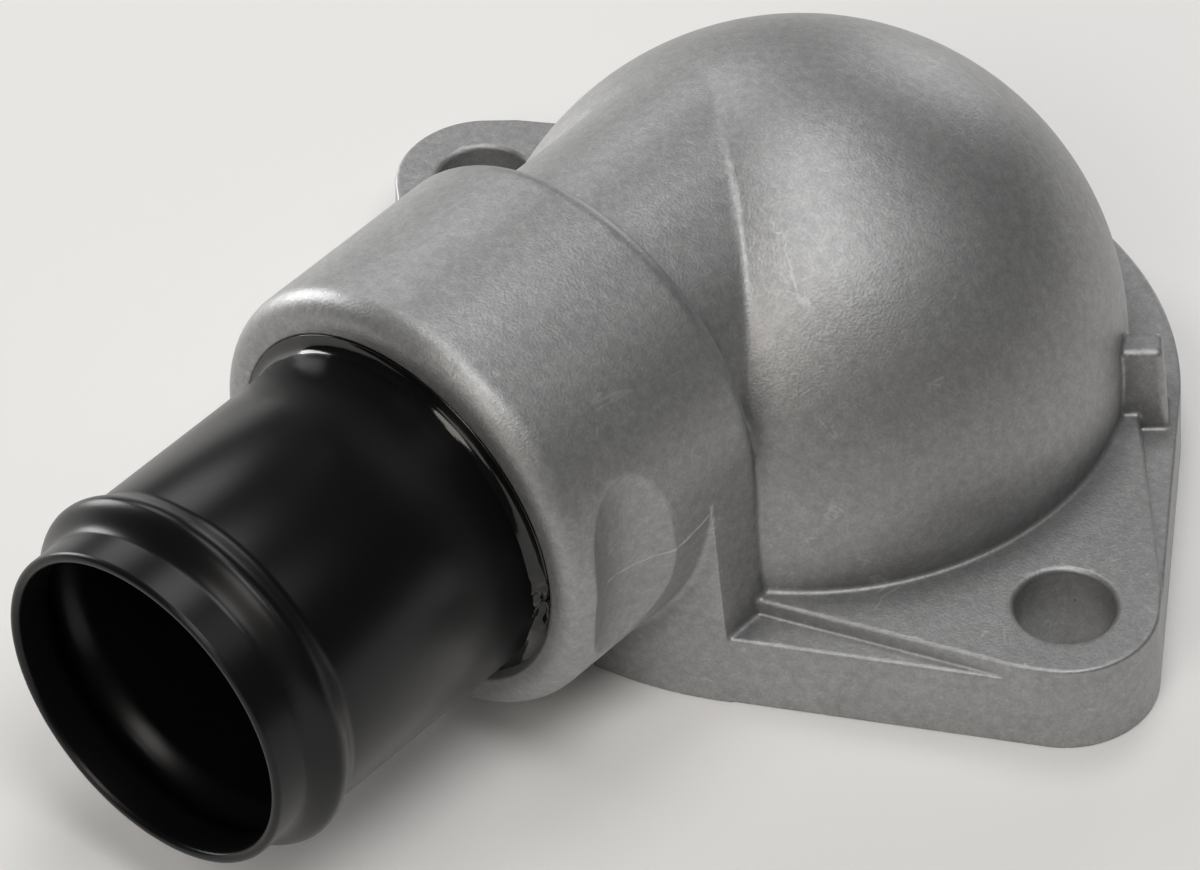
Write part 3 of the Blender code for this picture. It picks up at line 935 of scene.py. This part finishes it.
def turn_tree() -> tuple[bpy.types.NodeTree, dict[str, str]]:
    """Build the Geometry Nodes tree that turns a closed section round the neck's axis.

    The section's points hold the radius as X and the distance along the axis as Y.
    Soft lumps and one rough blob may swell the surface along its own directions, and a
    stretch of the ring may lie sunk along the axis.

    Returns:
        The tree, and the identifier of each named input.
    """
    nodes = NodeTree.group("Turned Section", "GeometryNodeTree")
    names = {"Section": nodes.socket("Section", "NodeSocketGeometry")}
    for name, kind, default in (
        ("Section Points", "NodeSocketInt", 16),
        ("Facets", "NodeSocketInt", 192),
        ("Axis Start", "NodeSocketVector", None),
        ("Lump Height", "NodeSocketFloat", 0.0),
        ("Lump Scale", "NodeSocketFloat", 400.0),
        ("Blob Height", "NodeSocketFloat", 0.0),
        ("Blob Angle", "NodeSocketFloat", 0.0),
        ("Blob Spread", "NodeSocketFloat", 0.1),
        ("Sunk Depth", "NodeSocketFloat", 0.0),
        ("Sunk Angle", "NodeSocketFloat", 0.0),
        ("Sunk Spread", "NodeSocketFloat", 1.0),
        ("Seed", "NodeSocketFloat", 1.0),
        ("Material", "NodeSocketMaterial", None),
    ):
        names[name] = nodes.socket(name, kind, default)
    nodes.socket("Mesh", "NodeSocketGeometry", out=True)
    given = nodes.add("NodeGroupInput").outputs
    points, facets = given["Section Points"], given["Facets"]
    across, around = nodes.math("ADD", points, 1.0), nodes.math("ADD", facets, 1.0)
    sheet = {"Vertices X": around, "Vertices Y": across}
    grid = nodes.add("GeometryNodeMeshGrid", sheet).outputs["Mesh"]
    index = nodes.add("GeometryNodeInputIndex").outputs[0]
    column = nodes.math("FLOOR", nodes.math("DIVIDE", nodes.math("ADD", index, 0.5), across))
    row = nodes.math("SUBTRACT", index, nodes.math("MULTIPLY", column, across))
    row = nodes.math("MODULO", row, points)
    position = nodes.add("GeometryNodeInputPosition").outputs[0]
    sampler = nodes.add("GeometryNodeSampleIndex", data_type="FLOAT_VECTOR", domain="POINT")
    nodes.tree.links.new(given["Section"], sampler.inputs["Geometry"])
    nodes.tree.links.new(position, sampler.inputs["Value"])
    nodes.tree.links.new(row, sampler.inputs["Index"])
    part = nodes.add("ShaderNodeSeparateXYZ", {0: sampler.outputs["Value"]}).outputs
    angle = nodes.math("MULTIPLY", nodes.math("DIVIDE", column, facets), 2.0 * math.pi)
    side = nodes.math("MULTIPLY", part["X"], nodes.math("COSINE", angle))
    up = nodes.math("MULTIPLY", part["X"], nodes.math("SINE", angle))
    back = nodes.math("MULTIPLY", part["Y"], -1.0)
    turned_to = nodes.add("ShaderNodeCombineXYZ", {"X": side, "Y": back, "Z": up}).outputs[0]
    placed = nodes.add(
        "ShaderNodeVectorMath", {0: turned_to, 1: given["Axis Start"]}, operation="ADD"
    ).outputs[0]
    mesh = nodes.add("GeometryNodeSetPosition", {"Geometry": grid, "Position": placed}).outputs[0]
    mesh = nodes.add("GeometryNodeMergeByDistance", {"Geometry": mesh, "Distance": 1e-6}).outputs[0]

    local = nodes.add(
        "ShaderNodeVectorMath", {0: position, 1: given["Axis Start"]}, operation="SUBTRACT"
    ).outputs[0]
    noise = nodes.add("ShaderNodeTexNoise", noise_dimensions="4D")
    nodes.tree.links.new(local, noise.inputs["Vector"])
    nodes.tree.links.new(given["Seed"], noise.inputs["W"])
    nodes.tree.links.new(given["Lump Scale"], noise.inputs["Scale"])
    lump = nodes.math("SUBTRACT", noise.outputs[0], 0.5)
    lump = nodes.math("MULTIPLY", lump, given["Lump Height"])
    place = nodes.add("ShaderNodeSeparateXYZ", {0: local}).outputs
    turn = nodes.math("ARCTAN2", place["Z"], place["X"])
    away = nodes.math("SUBTRACT", turn, given["Blob Angle"])
    away = nodes.math("DIVIDE", away, given["Blob Spread"])
    fade = nodes.math("EXPONENT", nodes.math("MULTIPLY", nodes.math("MULTIPLY", away, away), -1.0))
    finer = nodes.math("MULTIPLY", given["Lump Scale"], 6.0)
    rough = nodes.add("ShaderNodeTexNoise", {"Vector": local, "Scale": finer}).outputs[0]
    rough = nodes.math("MULTIPLY_ADD", rough, 3.0, -1.0)
    blob = nodes.math("MULTIPLY", nodes.math("MULTIPLY", fade, rough), given["Blob Height"])
    normal = nodes.add("GeometryNodeInputNormal").outputs[0]
    lift = nodes.math("ADD", lump, blob)
    swell = nodes.add(
        "ShaderNodeVectorMath", {0: normal, "Scale": lift}, operation="SCALE"
    ).outputs[0]
    mesh = nodes.add("GeometryNodeSetPosition", {"Geometry": mesh, "Offset": swell}).outputs[0]
    past = nodes.math("SUBTRACT", turn, given["Sunk Angle"])
    past = nodes.math("DIVIDE", past, given["Sunk Spread"])
    past = nodes.math("POWER", nodes.math("ABSOLUTE", past), 4.0)
    sunk = nodes.math("EXPONENT", nodes.math("MULTIPLY", past, -1.0))
    sunk = nodes.math("MULTIPLY", sunk, given["Sunk Depth"])
    sink = nodes.add("ShaderNodeCombineXYZ", {"Y": sunk}).outputs[0]
    mesh = nodes.add("GeometryNodeSetPosition", {"Geometry": mesh, "Offset": sink}).outputs[0]
    mesh = nodes.add("GeometryNodeSetShadeSmooth", {"Geometry": mesh}).outputs[0]
    mesh = nodes.add("GeometryNodeRealizeInstances", {"Geometry": mesh}).outputs[0]
    painted = nodes.add(
        "GeometryNodeSetMaterial", {"Geometry": mesh, "Material": given["Material"]}
    ).outputs[0]
    nodes.add("NodeGroupOutput", {"Mesh": painted})
    return nodes.tree, names


def turn_section(
    name: str, section: Sequence[tuple[float, float]], sizes: dict[str, object]
) -> bpy.types.Object:
    """Turn a closed section into a solid ring and return it as a plain mesh object.

    Args:
        name: The piece's name.
        section: The radius and the distance along the neck's axis of each point.
        sizes: The tree's inputs, by name.

    Returns:
        The finished object, which sits at the origin.
    """
    outline = bpy.data.meshes.new(f"{name}_section")
    count = len(section)
    edges = [(i, (i + 1) % count) for i in range(count)]
    outline.from_pydata([(r, along, 0.0) for r, along in section], edges, [])
    obj = link_object(name, outline)
    tree, names = turn_tree()
    modifier = obj.modifiers.new("Turn", "NODES")
    modifier.node_group = tree
    for key, value in {"Section Points": count, **sizes}.items():
        modifier[names[key]] = value
    graph = bpy.context.evaluated_depsgraph_get()
    mesh = bpy.data.meshes.new_from_object(obj.evaluated_get(graph))
    obj.modifiers.clear()
    obj.data = mesh
    bpy.data.meshes.remove(outline)
    return obj


def arc(centre: tuple[float, float], radius: float, start: float, end: float, steps: int) -> list:
    """Return points along an arc, both ends included.

    Args:
        centre: The arc's centre, as a radius and a distance along the axis.
        radius: The arc's radius.
        start: The first point's angle in degrees.
        end: The last point's angle in degrees.
        steps: How many chords it has.

    Returns:
        The points.
    """
    angles = [math.radians(start + (end - start) * i / steps) for i in range(steps + 1)]
    return [(centre[0] + radius * math.cos(a), centre[1] + radius * math.sin(a)) for a in angles]


@dataclass
class HoseTube:
    """The steel tube that the hose pushes onto, with its rolled bead."""

    neck: NeckLine
    wall: float = 0.0012
    end: float = 0.0927
    bead_from_end: float = 0.0071
    bead_rise: float = 0.0013
    bead_half_width: float = 0.0033
    spigot_reduction: float = 0.0008
    facets: int = 224
    bead_steps: int = 36

    def drawn(self, radius: float, along: float) -> tuple[float, float]:
        """Return a point of the wall, pushed out by the bead and drawn in beyond it."""
        offset = (along - self.end + self.bead_from_end) / self.bead_half_width
        bead = self.bead_rise * (1.0 + math.cos(math.pi * min(abs(offset), 1.0))) / 2.0
        share = min(max(offset, 0.0), 1.0)
        return (radius + bead - self.spigot_reduction * share * share * (3.0 - 2.0 * share), along)

    def section(self) -> list[tuple[float, float]]:
        """Return the wall's closed section, from the open end in along the outside and back."""
        outer = self.neck.tube_radius
        inner = outer - self.wall
        edge = self.wall / 2.0
        lip = (outer - self.spigot_reduction - edge, self.end - edge)
        middle = self.end - self.bead_from_end
        seat = self.neck.socket_end + self.neck.fit_gap
        spread = [1.0 - 2.0 * i / self.bead_steps for i in range(self.bead_steps + 1)]
        stations = [middle + self.bead_half_width * share for share in spread]
        points = arc(lip, edge, 90.0, 0.0, 6)
        points += [self.drawn(outer, along) for along in stations]
        points += [(outer, seat), (inner, seat)]
        points += [self.drawn(inner, along) for along in reversed(stations)]
        return points + arc(lip, edge, 180.0, 90.0, 6)[:-1]

    def build(self, axis: Vector, material: bpy.types.Material) -> bpy.types.Object:
        """Make the tube about the neck's axis, whose point beside the dome's axis is given."""
        sizes = {"Facets": self.facets, "Axis Start": axis, "Material": material}
        return turn_section("hose_tube_finished", self.section(), sizes)


@dataclass
class SealantRing:
    """The bead of sealant round the tube in the collar's mouth."""

    neck: NeckLine
    climb: float = 0.0012
    depth: float = 0.0012
    bury: float = 0.0001
    bow: float = 0.00022
    lump_height: float = 0.00022
    lump_scale: float = 150.0
    blob_height: float = 0.0010
    blob_angle: float = math.radians(-4.0)
    blob_spread: float = 0.13
    sunk_depth: float = 0.0009
    sunk_angle: float = math.radians(-62.0)
    sunk_spread: float = math.radians(46.0)
    steps: int = 12
    facets: int = 360

    def section(self) -> list[tuple[float, float]]:
        """Return the sealant's closed section, from its crest on the tube out to the lip."""
        inner = self.neck.tube_radius - self.bury
        outer = self.neck.socket_radius + self.neck.chamfer - self.bury
        crest = self.neck.mouth + self.climb
        points = []
        for i in range(self.steps + 1):
            share = i / self.steps
            sag = self.bow * math.sin(math.pi * share)
            points.append((inner + (outer - inner) * share - sag, crest - self.climb * share - sag))
        return [*points, (inner, self.neck.mouth - self.depth)]

    def build(self, axis: Vector, material: bpy.types.Material) -> bpy.types.Object:
        """Make the sealant about the neck's axis, whose point beside the dome's axis is given."""
        sizes = {
            "Facets": self.facets,
            "Axis Start": axis,
            "Material": material,
            "Lump Height": self.lump_height,
            "Lump Scale": self.lump_scale,
            "Blob Height": self.blob_height,
            "Blob Angle": self.blob_angle,
            "Blob Spread": self.blob_spread,
            "Sunk Depth": self.sunk_depth,
            "Sunk Angle": self.sunk_angle,
            "Sunk Spread": self.sunk_spread,
        }
        return turn_section("sealant_ring_finished", self.section(), sizes)


# Finishes


class Effect(Enum):
    """The surface effects that the finishes share, by the name of their shader group."""

    GRAIN = "Fine Grain"
    MOTTLE = "Tonal Mottling"
    SCUFFS = "Stray Scuffs"
    SPECKS = "Scattered Specks"


def object_coordinates(nodes: NodeTree) -> bpy.types.NodeSocket:
    """Add the object's own coordinates, in metres."""
    return nodes.add("ShaderNodeTexCoord").outputs["Object"]


def grain_group() -> bpy.types.NodeTree:
    """Build the fine grain: two sizes of noise added into one height and one tone."""
    nodes = NodeTree.group(Effect.GRAIN.value, "ShaderNodeTree")
    nodes.socket("Grain Size", "NodeSocketFloat", 0.0003)
    nodes.socket("Coarse Share", "NodeSocketFloat", 0.4)
    nodes.socket("Height", "NodeSocketFloat", out=True)
    nodes.socket("Tone", "NodeSocketFloat", out=True)
    given = nodes.add("NodeGroupInput").outputs
    spot = object_coordinates(nodes)
    scale = nodes.math("DIVIDE", 1.0, given["Grain Size"])
    fine = nodes.add("ShaderNodeTexNoise", {"Vector": spot, "Scale": scale, "Detail": 2.0})
    wide = nodes.math("MULTIPLY", scale, 0.28)
    coarse = nodes.add("ShaderNodeTexNoise", {"Vector": spot, "Scale": wide, "Detail": 3.0})
    added = nodes.math("MULTIPLY", coarse.outputs[0], given["Coarse Share"])
    height = nodes.math("ADD", fine.outputs[0], added)
    tone = nodes.math("MULTIPLY", fine.outputs[0], coarse.outputs[0])
    nodes.add("NodeGroupOutput", {"Height": height, "Tone": tone})
    return nodes.tree


def mottle_group() -> bpy.types.NodeTree:
    """Build the slow change of tone over a surface, from dark to light about zero."""
    nodes = NodeTree.group(Effect.MOTTLE.value, "ShaderNodeTree")
    nodes.socket("Patch Size", "NodeSocketFloat", 0.008)
    nodes.socket("Spread", "NodeSocketFloat", 0.1)
    nodes.socket("Shade", "NodeSocketFloat", out=True)
    given = nodes.add("NodeGroupInput").outputs
    scale = nodes.math("DIVIDE", 1.0, given["Patch Size"])
    spot = object_coordinates(nodes)
    noise = nodes.add(
        "ShaderNodeTexNoise",
        {"Vector": spot, "Scale": scale, "Detail": 5.0, "Roughness": 0.62},
    )
    shade = nodes.math("MULTIPLY", nodes.math("SUBTRACT", noise.outputs[0], 0.5), given["Spread"])
    nodes.add("NodeGroupOutput", {"Shade": nodes.math("ADD", shade, 1.0)})
    return nodes.tree


def scuffs_group() -> bpy.types.NodeTree:
    """Build rare fine scuffs that run in two directions, as a mask."""
    nodes = NodeTree.group(Effect.SCUFFS.value, "ShaderNodeTree")
    nodes.socket("Spacing", "NodeSocketFloat", 0.004)
    nodes.socket("Amount", "NodeSocketFloat", 0.03)
    nodes.socket("Mask", "NodeSocketFloat", out=True)
    given = nodes.add("NodeGroupInput").outputs
    spot = object_coordinates(nodes)
    scale = nodes.math("DIVIDE", 1.0, given["Spacing"])
    masks = []
    for turn in ((0.4, 0.9, 0.3), (1.3, -0.5, 1.1)):
        turned_spot = nodes.add(
            "ShaderNodeVectorRotate", {"Vector": spot, "Rotation": turn}, rotation_type="EULER_XYZ"
        )
        stretched = nodes.add(
            "ShaderNodeVectorMath",
            {0: turned_spot.outputs[0], 1: (1.0, 0.10, 0.55)},
            operation="MULTIPLY",
        ).outputs[0]
        noise = nodes.add(
            "ShaderNodeTexNoise", {"Vector": stretched, "Scale": scale, "Detail": 4.0}
        ).outputs[0]
        line = nodes.math("ABSOLUTE", nodes.math("SUBTRACT", noise, 0.5))
        thin = nodes.math("LESS_THAN", line, nodes.math("MULTIPLY", given["Amount"], 0.1))
        where = nodes.add(
            "ShaderNodeTexNoise", {"Vector": spot, "Scale": nodes.math("MULTIPLY", scale, 0.7)}
        ).outputs[0]
        rare = nodes.math("GREATER_THAN", where, nodes.math("SUBTRACT", 0.72, given["Amount"]))
        masks.append(nodes.math("MULTIPLY", thin, rare))
    nodes.add("NodeGroupOutput", {"Mask": nodes.math("MAXIMUM", *masks)})
    return nodes.tree


def specks_group() -> bpy.types.NodeTree:
    """Build small scattered specks, as a mask with soft edges."""
    nodes = NodeTree.group(Effect.SPECKS.value, "ShaderNodeTree")
    nodes.socket("Spacing", "NodeSocketFloat", 0.003)
    nodes.socket("Size", "NodeSocketFloat", 0.05)
    nodes.socket("Share", "NodeSocketFloat", 0.2)
    nodes.socket("Mask", "NodeSocketFloat", out=True)
    given = nodes.add("NodeGroupInput").outputs
    scale = nodes.math("DIVIDE", 1.0, given["Spacing"])
    cells = nodes.add("ShaderNodeTexVoronoi", {"Vector": object_coordinates(nodes), "Scale": scale})
    near = nodes.math("DIVIDE", cells.outputs["Distance"], given["Size"])
    dot = nodes.math("MAXIMUM", nodes.math("SUBTRACT", 1.0, near), 0.0)
    pick = nodes.add("ShaderNodeSeparateColor", {0: cells.outputs["Color"]}).outputs[0]
    kept = nodes.math("LESS_THAN", pick, given["Share"])
    nodes.add("NodeGroupOutput", {"Mask": nodes.math("MULTIPLY", dot, kept)})
    return nodes.tree


class Effects:
    """Builds each shader group once and hands it to the materials that use it."""

    MAKERS = {
        Effect.GRAIN: grain_group,
        Effect.MOTTLE: mottle_group,
        Effect.SCUFFS: scuffs_group,
        Effect.SPECKS: specks_group,
    }

    def __init__(self) -> None:
        """Start with no group built."""
        self.built: dict[Effect, bpy.types.NodeTree] = {}

    def use(self, nodes: NodeTree, effect: Effect, inputs: dict[str, float]) -> bpy.types.Node:
        """Place an effect in a material.

        Args:
            nodes: The material's tree.
            effect: The effect.
            inputs: The group's values.

        Returns:
            The group's node.
        """
        if effect not in self.built:
            self.built[effect] = self.MAKERS[effect]()
        node = nodes.add("ShaderNodeGroup", node_tree=self.built[effect])
        for name, value in inputs.items():
            node.inputs[name].default_value = value
        return node


@dataclass(frozen=True)
class Finish:
    """What every finish has: a name, a colour and its gloss."""

    name: str
    colour: tuple[float, float, float]
    roughness: float
    metallic: float = 0.0
    specular: float = 0.5

    def start(self) -> tuple[bpy.types.Material, NodeTree, bpy.types.Node]:
        """Make the material with its constant values set.

        Returns:
            The material, its tree and its Principled shader.
        """
        material = bpy.data.materials.new(self.name)
        material.use_nodes = True
        shader = material.node_tree.nodes["Principled BSDF"]
        shader.inputs["Base Color"].default_value = (*self.colour, 1.0)
        shader.inputs["Roughness"].default_value = self.roughness
        shader.inputs["Metallic"].default_value = self.metallic
        shader.inputs["Specular IOR Level"].default_value = self.specular
        return material, NodeTree(material.node_tree), shader

    def tint(self, nodes: NodeTree, shade: bpy.types.NodeSocket) -> bpy.types.NodeSocket:
        """Return the finish's colour, made lighter or darker by a shade."""
        colour = nodes.add("ShaderNodeVectorMath", {0: self.colour}, operation="SCALE")
        nodes.tree.links.new(shade, colour.inputs["Scale"])
        return colour.outputs[0]


@dataclass(frozen=True)
class CastAluminium(Finish):
    """Blasted die-cast aluminium: grain, mottling, pits and scuffs, with painted crease shade."""

    grain_size: float = 0.00030
    grain_depth: float = 0.000036
    pit_depth: float = 0.00008
    # The share of the colour left where the painted shade in creases is darkest
    darkest_crease_shade: float = 0.76
    machined_gloss: float = 0.30
    cutter_depth: float = 0.000004
    cutter_scale: float = 700.0
    speckle: tuple[float, float] = (0.9, 0.78)
    pit_shade: float = -0.45
    scuff_shade: float = 0.22
    # How much the painted highlight lightens the line of flash
    flash_painted_highlight: float = 0.9
    gloss_spread: float = 0.12

    def make(self, effects: Effects) -> bpy.types.Material:
        """Build the material from the shared effects."""
        material, nodes, shader = self.start()
        grain = effects.use(nodes, Effect.GRAIN, {"Grain Size": self.grain_size}).outputs
        mottle = effects.use(nodes, Effect.MOTTLE, {"Patch Size": 0.006, "Spread": 0.20}).outputs
        cloud = effects.use(nodes, Effect.MOTTLE, {"Patch Size": 0.0009, "Spread": 0.28}).outputs
        scuffs = effects.use(nodes, Effect.SCUFFS, {"Spacing": 0.0045, "Amount": 0.07}).outputs
        specks = {"Spacing": 0.007, "Size": 0.035, "Share": 0.12}
        pits = effects.use(nodes, Effect.SPECKS, specks).outputs[0]
        # Painted shade: the base colour is darkened in creases, corners and under overhangs, where
        # the casting is less open
        openness = nodes.add("ShaderNodeAttribute", attribute_name=Mark.OPENNESS.value)
        machined = nodes.add("ShaderNodeAttribute", attribute_name=Mark.MACHINED.value)
        machined = machined.outputs["Fac"]
        painted_crease_shade = nodes.add("ShaderNodeMapRange", {"From Min": 0.30, "From Max": 0.72})
        painted_crease_shade.inputs["To Min"].default_value = self.darkest_crease_shade
        nodes.tree.links.new(openness.outputs["Fac"], painted_crease_shade.inputs["Value"])
        painted_crease_shade = painted_crease_shade.outputs[0]
        shade = nodes.math("MULTIPLY", nodes.math("MULTIPLY", mottle[0], cloud[0]), painted_crease_shade)
        speckle = nodes.math("MULTIPLY_ADD", grain["Tone"], *self.speckle)
        shade = nodes.math("MULTIPLY", shade, speckle)
        shade = nodes.math("MULTIPLY", shade, nodes.math("MULTIPLY_ADD", pits, self.pit_shade, 1.0))
        shade = nodes.math("ADD", shade, nodes.math("MULTIPLY", scuffs[0], self.scuff_shade))
        # Painted highlight: the base colour is lightened along the line of flash, standing in for
        # the light it catches
        flash = nodes.add("ShaderNodeAttribute", attribute_name=Mark.FLASH.value).outputs["Fac"]
        shade = nodes.math("MULTIPLY_ADD", flash, self.flash_painted_highlight, shade)
        nodes.tree.links.new(self.tint(nodes, shade), shader.inputs["Base Color"])
        spread = self.gloss_spread
        rough = nodes.math("MULTIPLY_ADD", mottle[0], -spread, self.roughness + spread)
        gloss = self.machined_gloss - self.roughness
        rough = nodes.math("MULTIPLY_ADD", machined, gloss, rough)
        nodes.tree.links.new(rough, shader.inputs["Roughness"])
        spot = object_coordinates(nodes)
        lines = nodes.add("ShaderNodeTexWave", {"Vector": spot, "Scale": self.cutter_scale})
        depth = self.cutter_depth / self.grain_depth
        height = nodes.add("ShaderNodeMix", {0: machined, 2: grain["Height"]})
        nodes.tree.links.new(nodes.math("MULTIPLY", lines.outputs["Fac"], depth), height.inputs[3])
        bump = nodes.add("ShaderNodeBump", {"Strength": 1.0, "Distance": self.grain_depth})
        nodes.tree.links.new(height.outputs[0], bump.inputs["Height"])
        pitted = nodes.add("ShaderNodeBump", {"Distance": self.pit_depth}, invert=True)
        nodes.tree.links.new(pits, pitted.inputs["Height"])
        nodes.tree.links.new(bump.outputs[0], pitted.inputs["Normal"])
        nodes.tree.links.new(pitted.outputs[0], shader.inputs["Normal"])
        return material


@dataclass(frozen=True)
class SatinPaint(Finish):
    """Satin black paint on steel, with a faint waviness and specks of dust."""

    dust_shade: float = 2.5
    gloss_spread: float = 0.08
    wave_depth: float = 0.0000012

    def make(self, effects: Effects) -> bpy.types.Material:
        """Build the material from the shared effects."""
        material, nodes, shader = self.start()
        grain = effects.use(nodes, Effect.GRAIN, {"Grain Size": 0.0005}).outputs
        mottle = effects.use(nodes, Effect.MOTTLE, {"Patch Size": 0.007, "Spread": 0.3}).outputs
        specks = {"Spacing": 0.0026, "Size": 0.05, "Share": 0.16}
        dust = effects.use(nodes, Effect.SPECKS, specks).outputs[0]
        shade = nodes.math("ADD", mottle[0], nodes.math("MULTIPLY", dust, self.dust_shade))
        nodes.tree.links.new(self.tint(nodes, shade), shader.inputs["Base Color"])
        spread = self.gloss_spread
        rough = nodes.math("MULTIPLY_ADD", mottle[0], spread, self.roughness - spread)
        nodes.tree.links.new(rough, shader.inputs["Roughness"])
        bump = nodes.add("ShaderNodeBump", {"Strength": 1.0, "Distance": self.wave_depth})
        nodes.tree.links.new(grain["Height"], bump.inputs["Height"])
        nodes.tree.links.new(bump.outputs[0], shader.inputs["Normal"])
        return material


@dataclass(frozen=True)
class WetSealant(Finish):
    """Glossy black sealant with small ripples."""

    ripple_depth: float = 0.00002

    def make(self, effects: Effects) -> bpy.types.Material:
        """Build the material from the shared effects."""
        material, nodes, shader = self.start()
        mottle = effects.use(nodes, Effect.MOTTLE, {"Patch Size": 0.0030, "Spread": 1.0}).outputs
        nodes.tree.links.new(self.tint(nodes, mottle[0]), shader.inputs["Base Color"])
        bump = nodes.add("ShaderNodeBump", {"Strength": 1.0, "Distance": self.ripple_depth})
        nodes.tree.links.new(mottle[0], bump.inputs["Height"])
        nodes.tree.links.new(bump.outputs[0], shader.inputs["Normal"])
        return material


@dataclass(frozen=True)
class PaleFloor(Finish):
    """A plain pale floor with barely any tone in it."""

    def make(self, effects: Effects) -> bpy.types.Material:
        """Build the material from the shared effects."""
        material, nodes, shader = self.start()
        mottle = effects.use(nodes, Effect.MOTTLE, {"Patch Size": 0.2, "Spread": 0.01}).outputs
        nodes.tree.links.new(self.tint(nodes, mottle[0]), shader.inputs["Base Color"])
        return material


@dataclass(frozen=True)
class Lamp:
    """A round soft lamp that is aimed at the part.

    Attributes:
        name: Where it stands.
        azimuth: Its direction from the part, in degrees round from +X.
        elevation: Its height above the floor, in degrees.
        power: Its power in watts.
        colour: The light's colour.
        width: Its diameter.
        distance: Its distance from the part.
    """

    name: str
    azimuth: float
    elevation: float
    power: float
    colour: tuple[float, float, float] = WHITE
    width: float = 0.45
    distance: float = 1.0

    def build(self, aim: Vector) -> None:
        """Hang the lamp and aim it."""
        lamp = bpy.data.lights.new(self.name, "AREA")
        lamp.shape = "DISK"
        lamp.size = self.width
        lamp.energy = self.power
        lamp.color = self.colour
        azimuth, elevation = math.radians(self.azimuth), math.radians(self.elevation)
        level = math.cos(elevation)
        way = Vector((level * math.cos(azimuth), level * math.sin(azimuth), math.sin(elevation)))
        obj = bpy.data.objects.new(self.name, lamp)
        obj.location = aim + way * self.distance
        obj.rotation_euler = way.to_track_quat("Z", "Y").to_euler()
        obj.visible_camera = False
        bpy.context.scene.collection.objects.link(obj)


@dataclass
class Studio:
    """The pale floor, the soft lights and the camera at the photograph's angle."""

    azimuth: float = math.radians(-47.77)
    elevation: float = math.radians(43.283)
    roll: float = math.radians(-1.722)
    distance: float = 0.8233
    lens: float = 239.04
    aim: tuple[float, float, float] = (-0.00392, -0.00061, 0.01705)
    lamp_aim: tuple[float, float, float] = (0.0, 0.0, 0.02)
    half_floor: float = 3.0
    fill: float = 0.01
    lamps: tuple[Lamp, ...] = (
        Lamp("right_high", 336.0, 69.0, 2.5),
        Lamp("overhead", 0.0, 90.0, 0.8),
        Lamp("back_high", 120.0, 70.0, 1.7),
        Lamp("left_low", 180.0, 10.0, 4.8),
        Lamp("left_back", 150.0, 30.0, 1.2),
        Lamp("back_low", 108.0, 12.0, 1.1),
        Lamp("back_right", 38.0, 53.0, 0.5),
        Lamp("front", 288.0, 44.0, 2.1, WARM),
        Lamp("front_low", 275.0, 16.0, 0.7, WARM),
    )

    def place_camera(self) -> None:
        """Make the camera and aim it as the photograph was taken."""
        lens = bpy.data.cameras.new("camera")
        lens.sensor_width = 36.0
        lens.lens = self.lens
        lens.clip_end = 10.0
        level = math.cos(self.elevation)
        back = Vector((level * math.cos(self.azimuth), level * math.sin(self.azimuth), 0.0))
        back.z = math.sin(self.elevation)
        right = Vector((-math.sin(self.azimuth), math.cos(self.azimuth), 0.0))
        up = back.cross(right)
        cosine, sine = math.cos(self.roll), math.sin(self.roll)
        axes = Matrix((right * cosine + up * sine, up * cosine - right * sine, back))
        camera = bpy.data.objects.new("camera", lens)
        camera.matrix_world = Matrix.Translation(Vector(self.aim) + back * self.distance) @ (
            axes.transposed().to_4x4()
        )
        bpy.context.scene.collection.objects.link(camera)
        bpy.context.scene.camera = camera

    def light(self) -> None:
        """Light the room softly."""
        world = bpy.data.worlds.new("studio")
        bpy.context.scene.world = world
        world.use_nodes = True
        background = world.node_tree.nodes["Background"]
        background.inputs["Color"].default_value = (*WHITE, 1.0)
        background.inputs["Strength"].default_value = self.fill
        for lamp in self.lamps:
            lamp.build(Vector(self.lamp_aim))

    def floor(self, effects: Effects) -> bpy.types.Object:
        """Make the pale floor."""
        mesh = bpy.data.meshes.new("floor")
        half = self.half_floor
        corners = [(-half, -half, 0.0), (half, -half, 0.0), (half, half, 0.0), (-half, half, 0.0)]
        mesh.from_pydata(corners, [], [(0, 1, 2, 3)])
        mesh.materials.append(PaleFloor("pale_floor", (0.96, 0.95, 0.935), 0.7).make(effects))
        return link_object("floor", mesh)

    def build(self, effects: Effects) -> None:
        """Set the studio up."""
        self.place_camera()
        self.light()
        self.floor(effects)
        bpy.context.scene.view_settings.view_transform = "Standard"


def main() -> None:
    """Build the housing's finished pieces, the studio and the camera."""
    logging.basicConfig(level=logging.INFO, format="%(message)s")
    log.info("packed model: %d nodes", len(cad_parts))
    effects = Effects()
    aluminium = CastAluminium("cast_aluminium", (0.365, 0.365, 0.365), 0.46, 0.72).make(effects)
    paint = SatinPaint("satin_black_paint", (0.0055, 0.0055, 0.0060), 0.30, 0.0, 0.3).make(effects)
    sealer = WetSealant("wet_black_sealant", (0.006, 0.006, 0.006), 0.10).make(effects)
    neck = NeckLine()
    housing = CastHousing(neck)
    casting = housing.build()
    casting.data.materials.append(aluminium)
    axis = housing.shift + Vector(neck.at(0.0))
    tube = HoseTube(neck).build(axis, paint)
    sealant = SealantRing(neck).build(axis, sealer)
    for piece, node, slot in (
        (casting, "cast_housing", "cast_aluminium"),
        (tube, "hose_tube", "black_paint"),
        (sealant, "sealant_ring", "black_sealant"),
    ):
        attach(piece, BODY)
        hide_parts(node)
        log.info("%s: %d faces", piece.name, len(piece.data.polygons))
    Studio().build(effects)


if __name__ == "__main__":
    main()
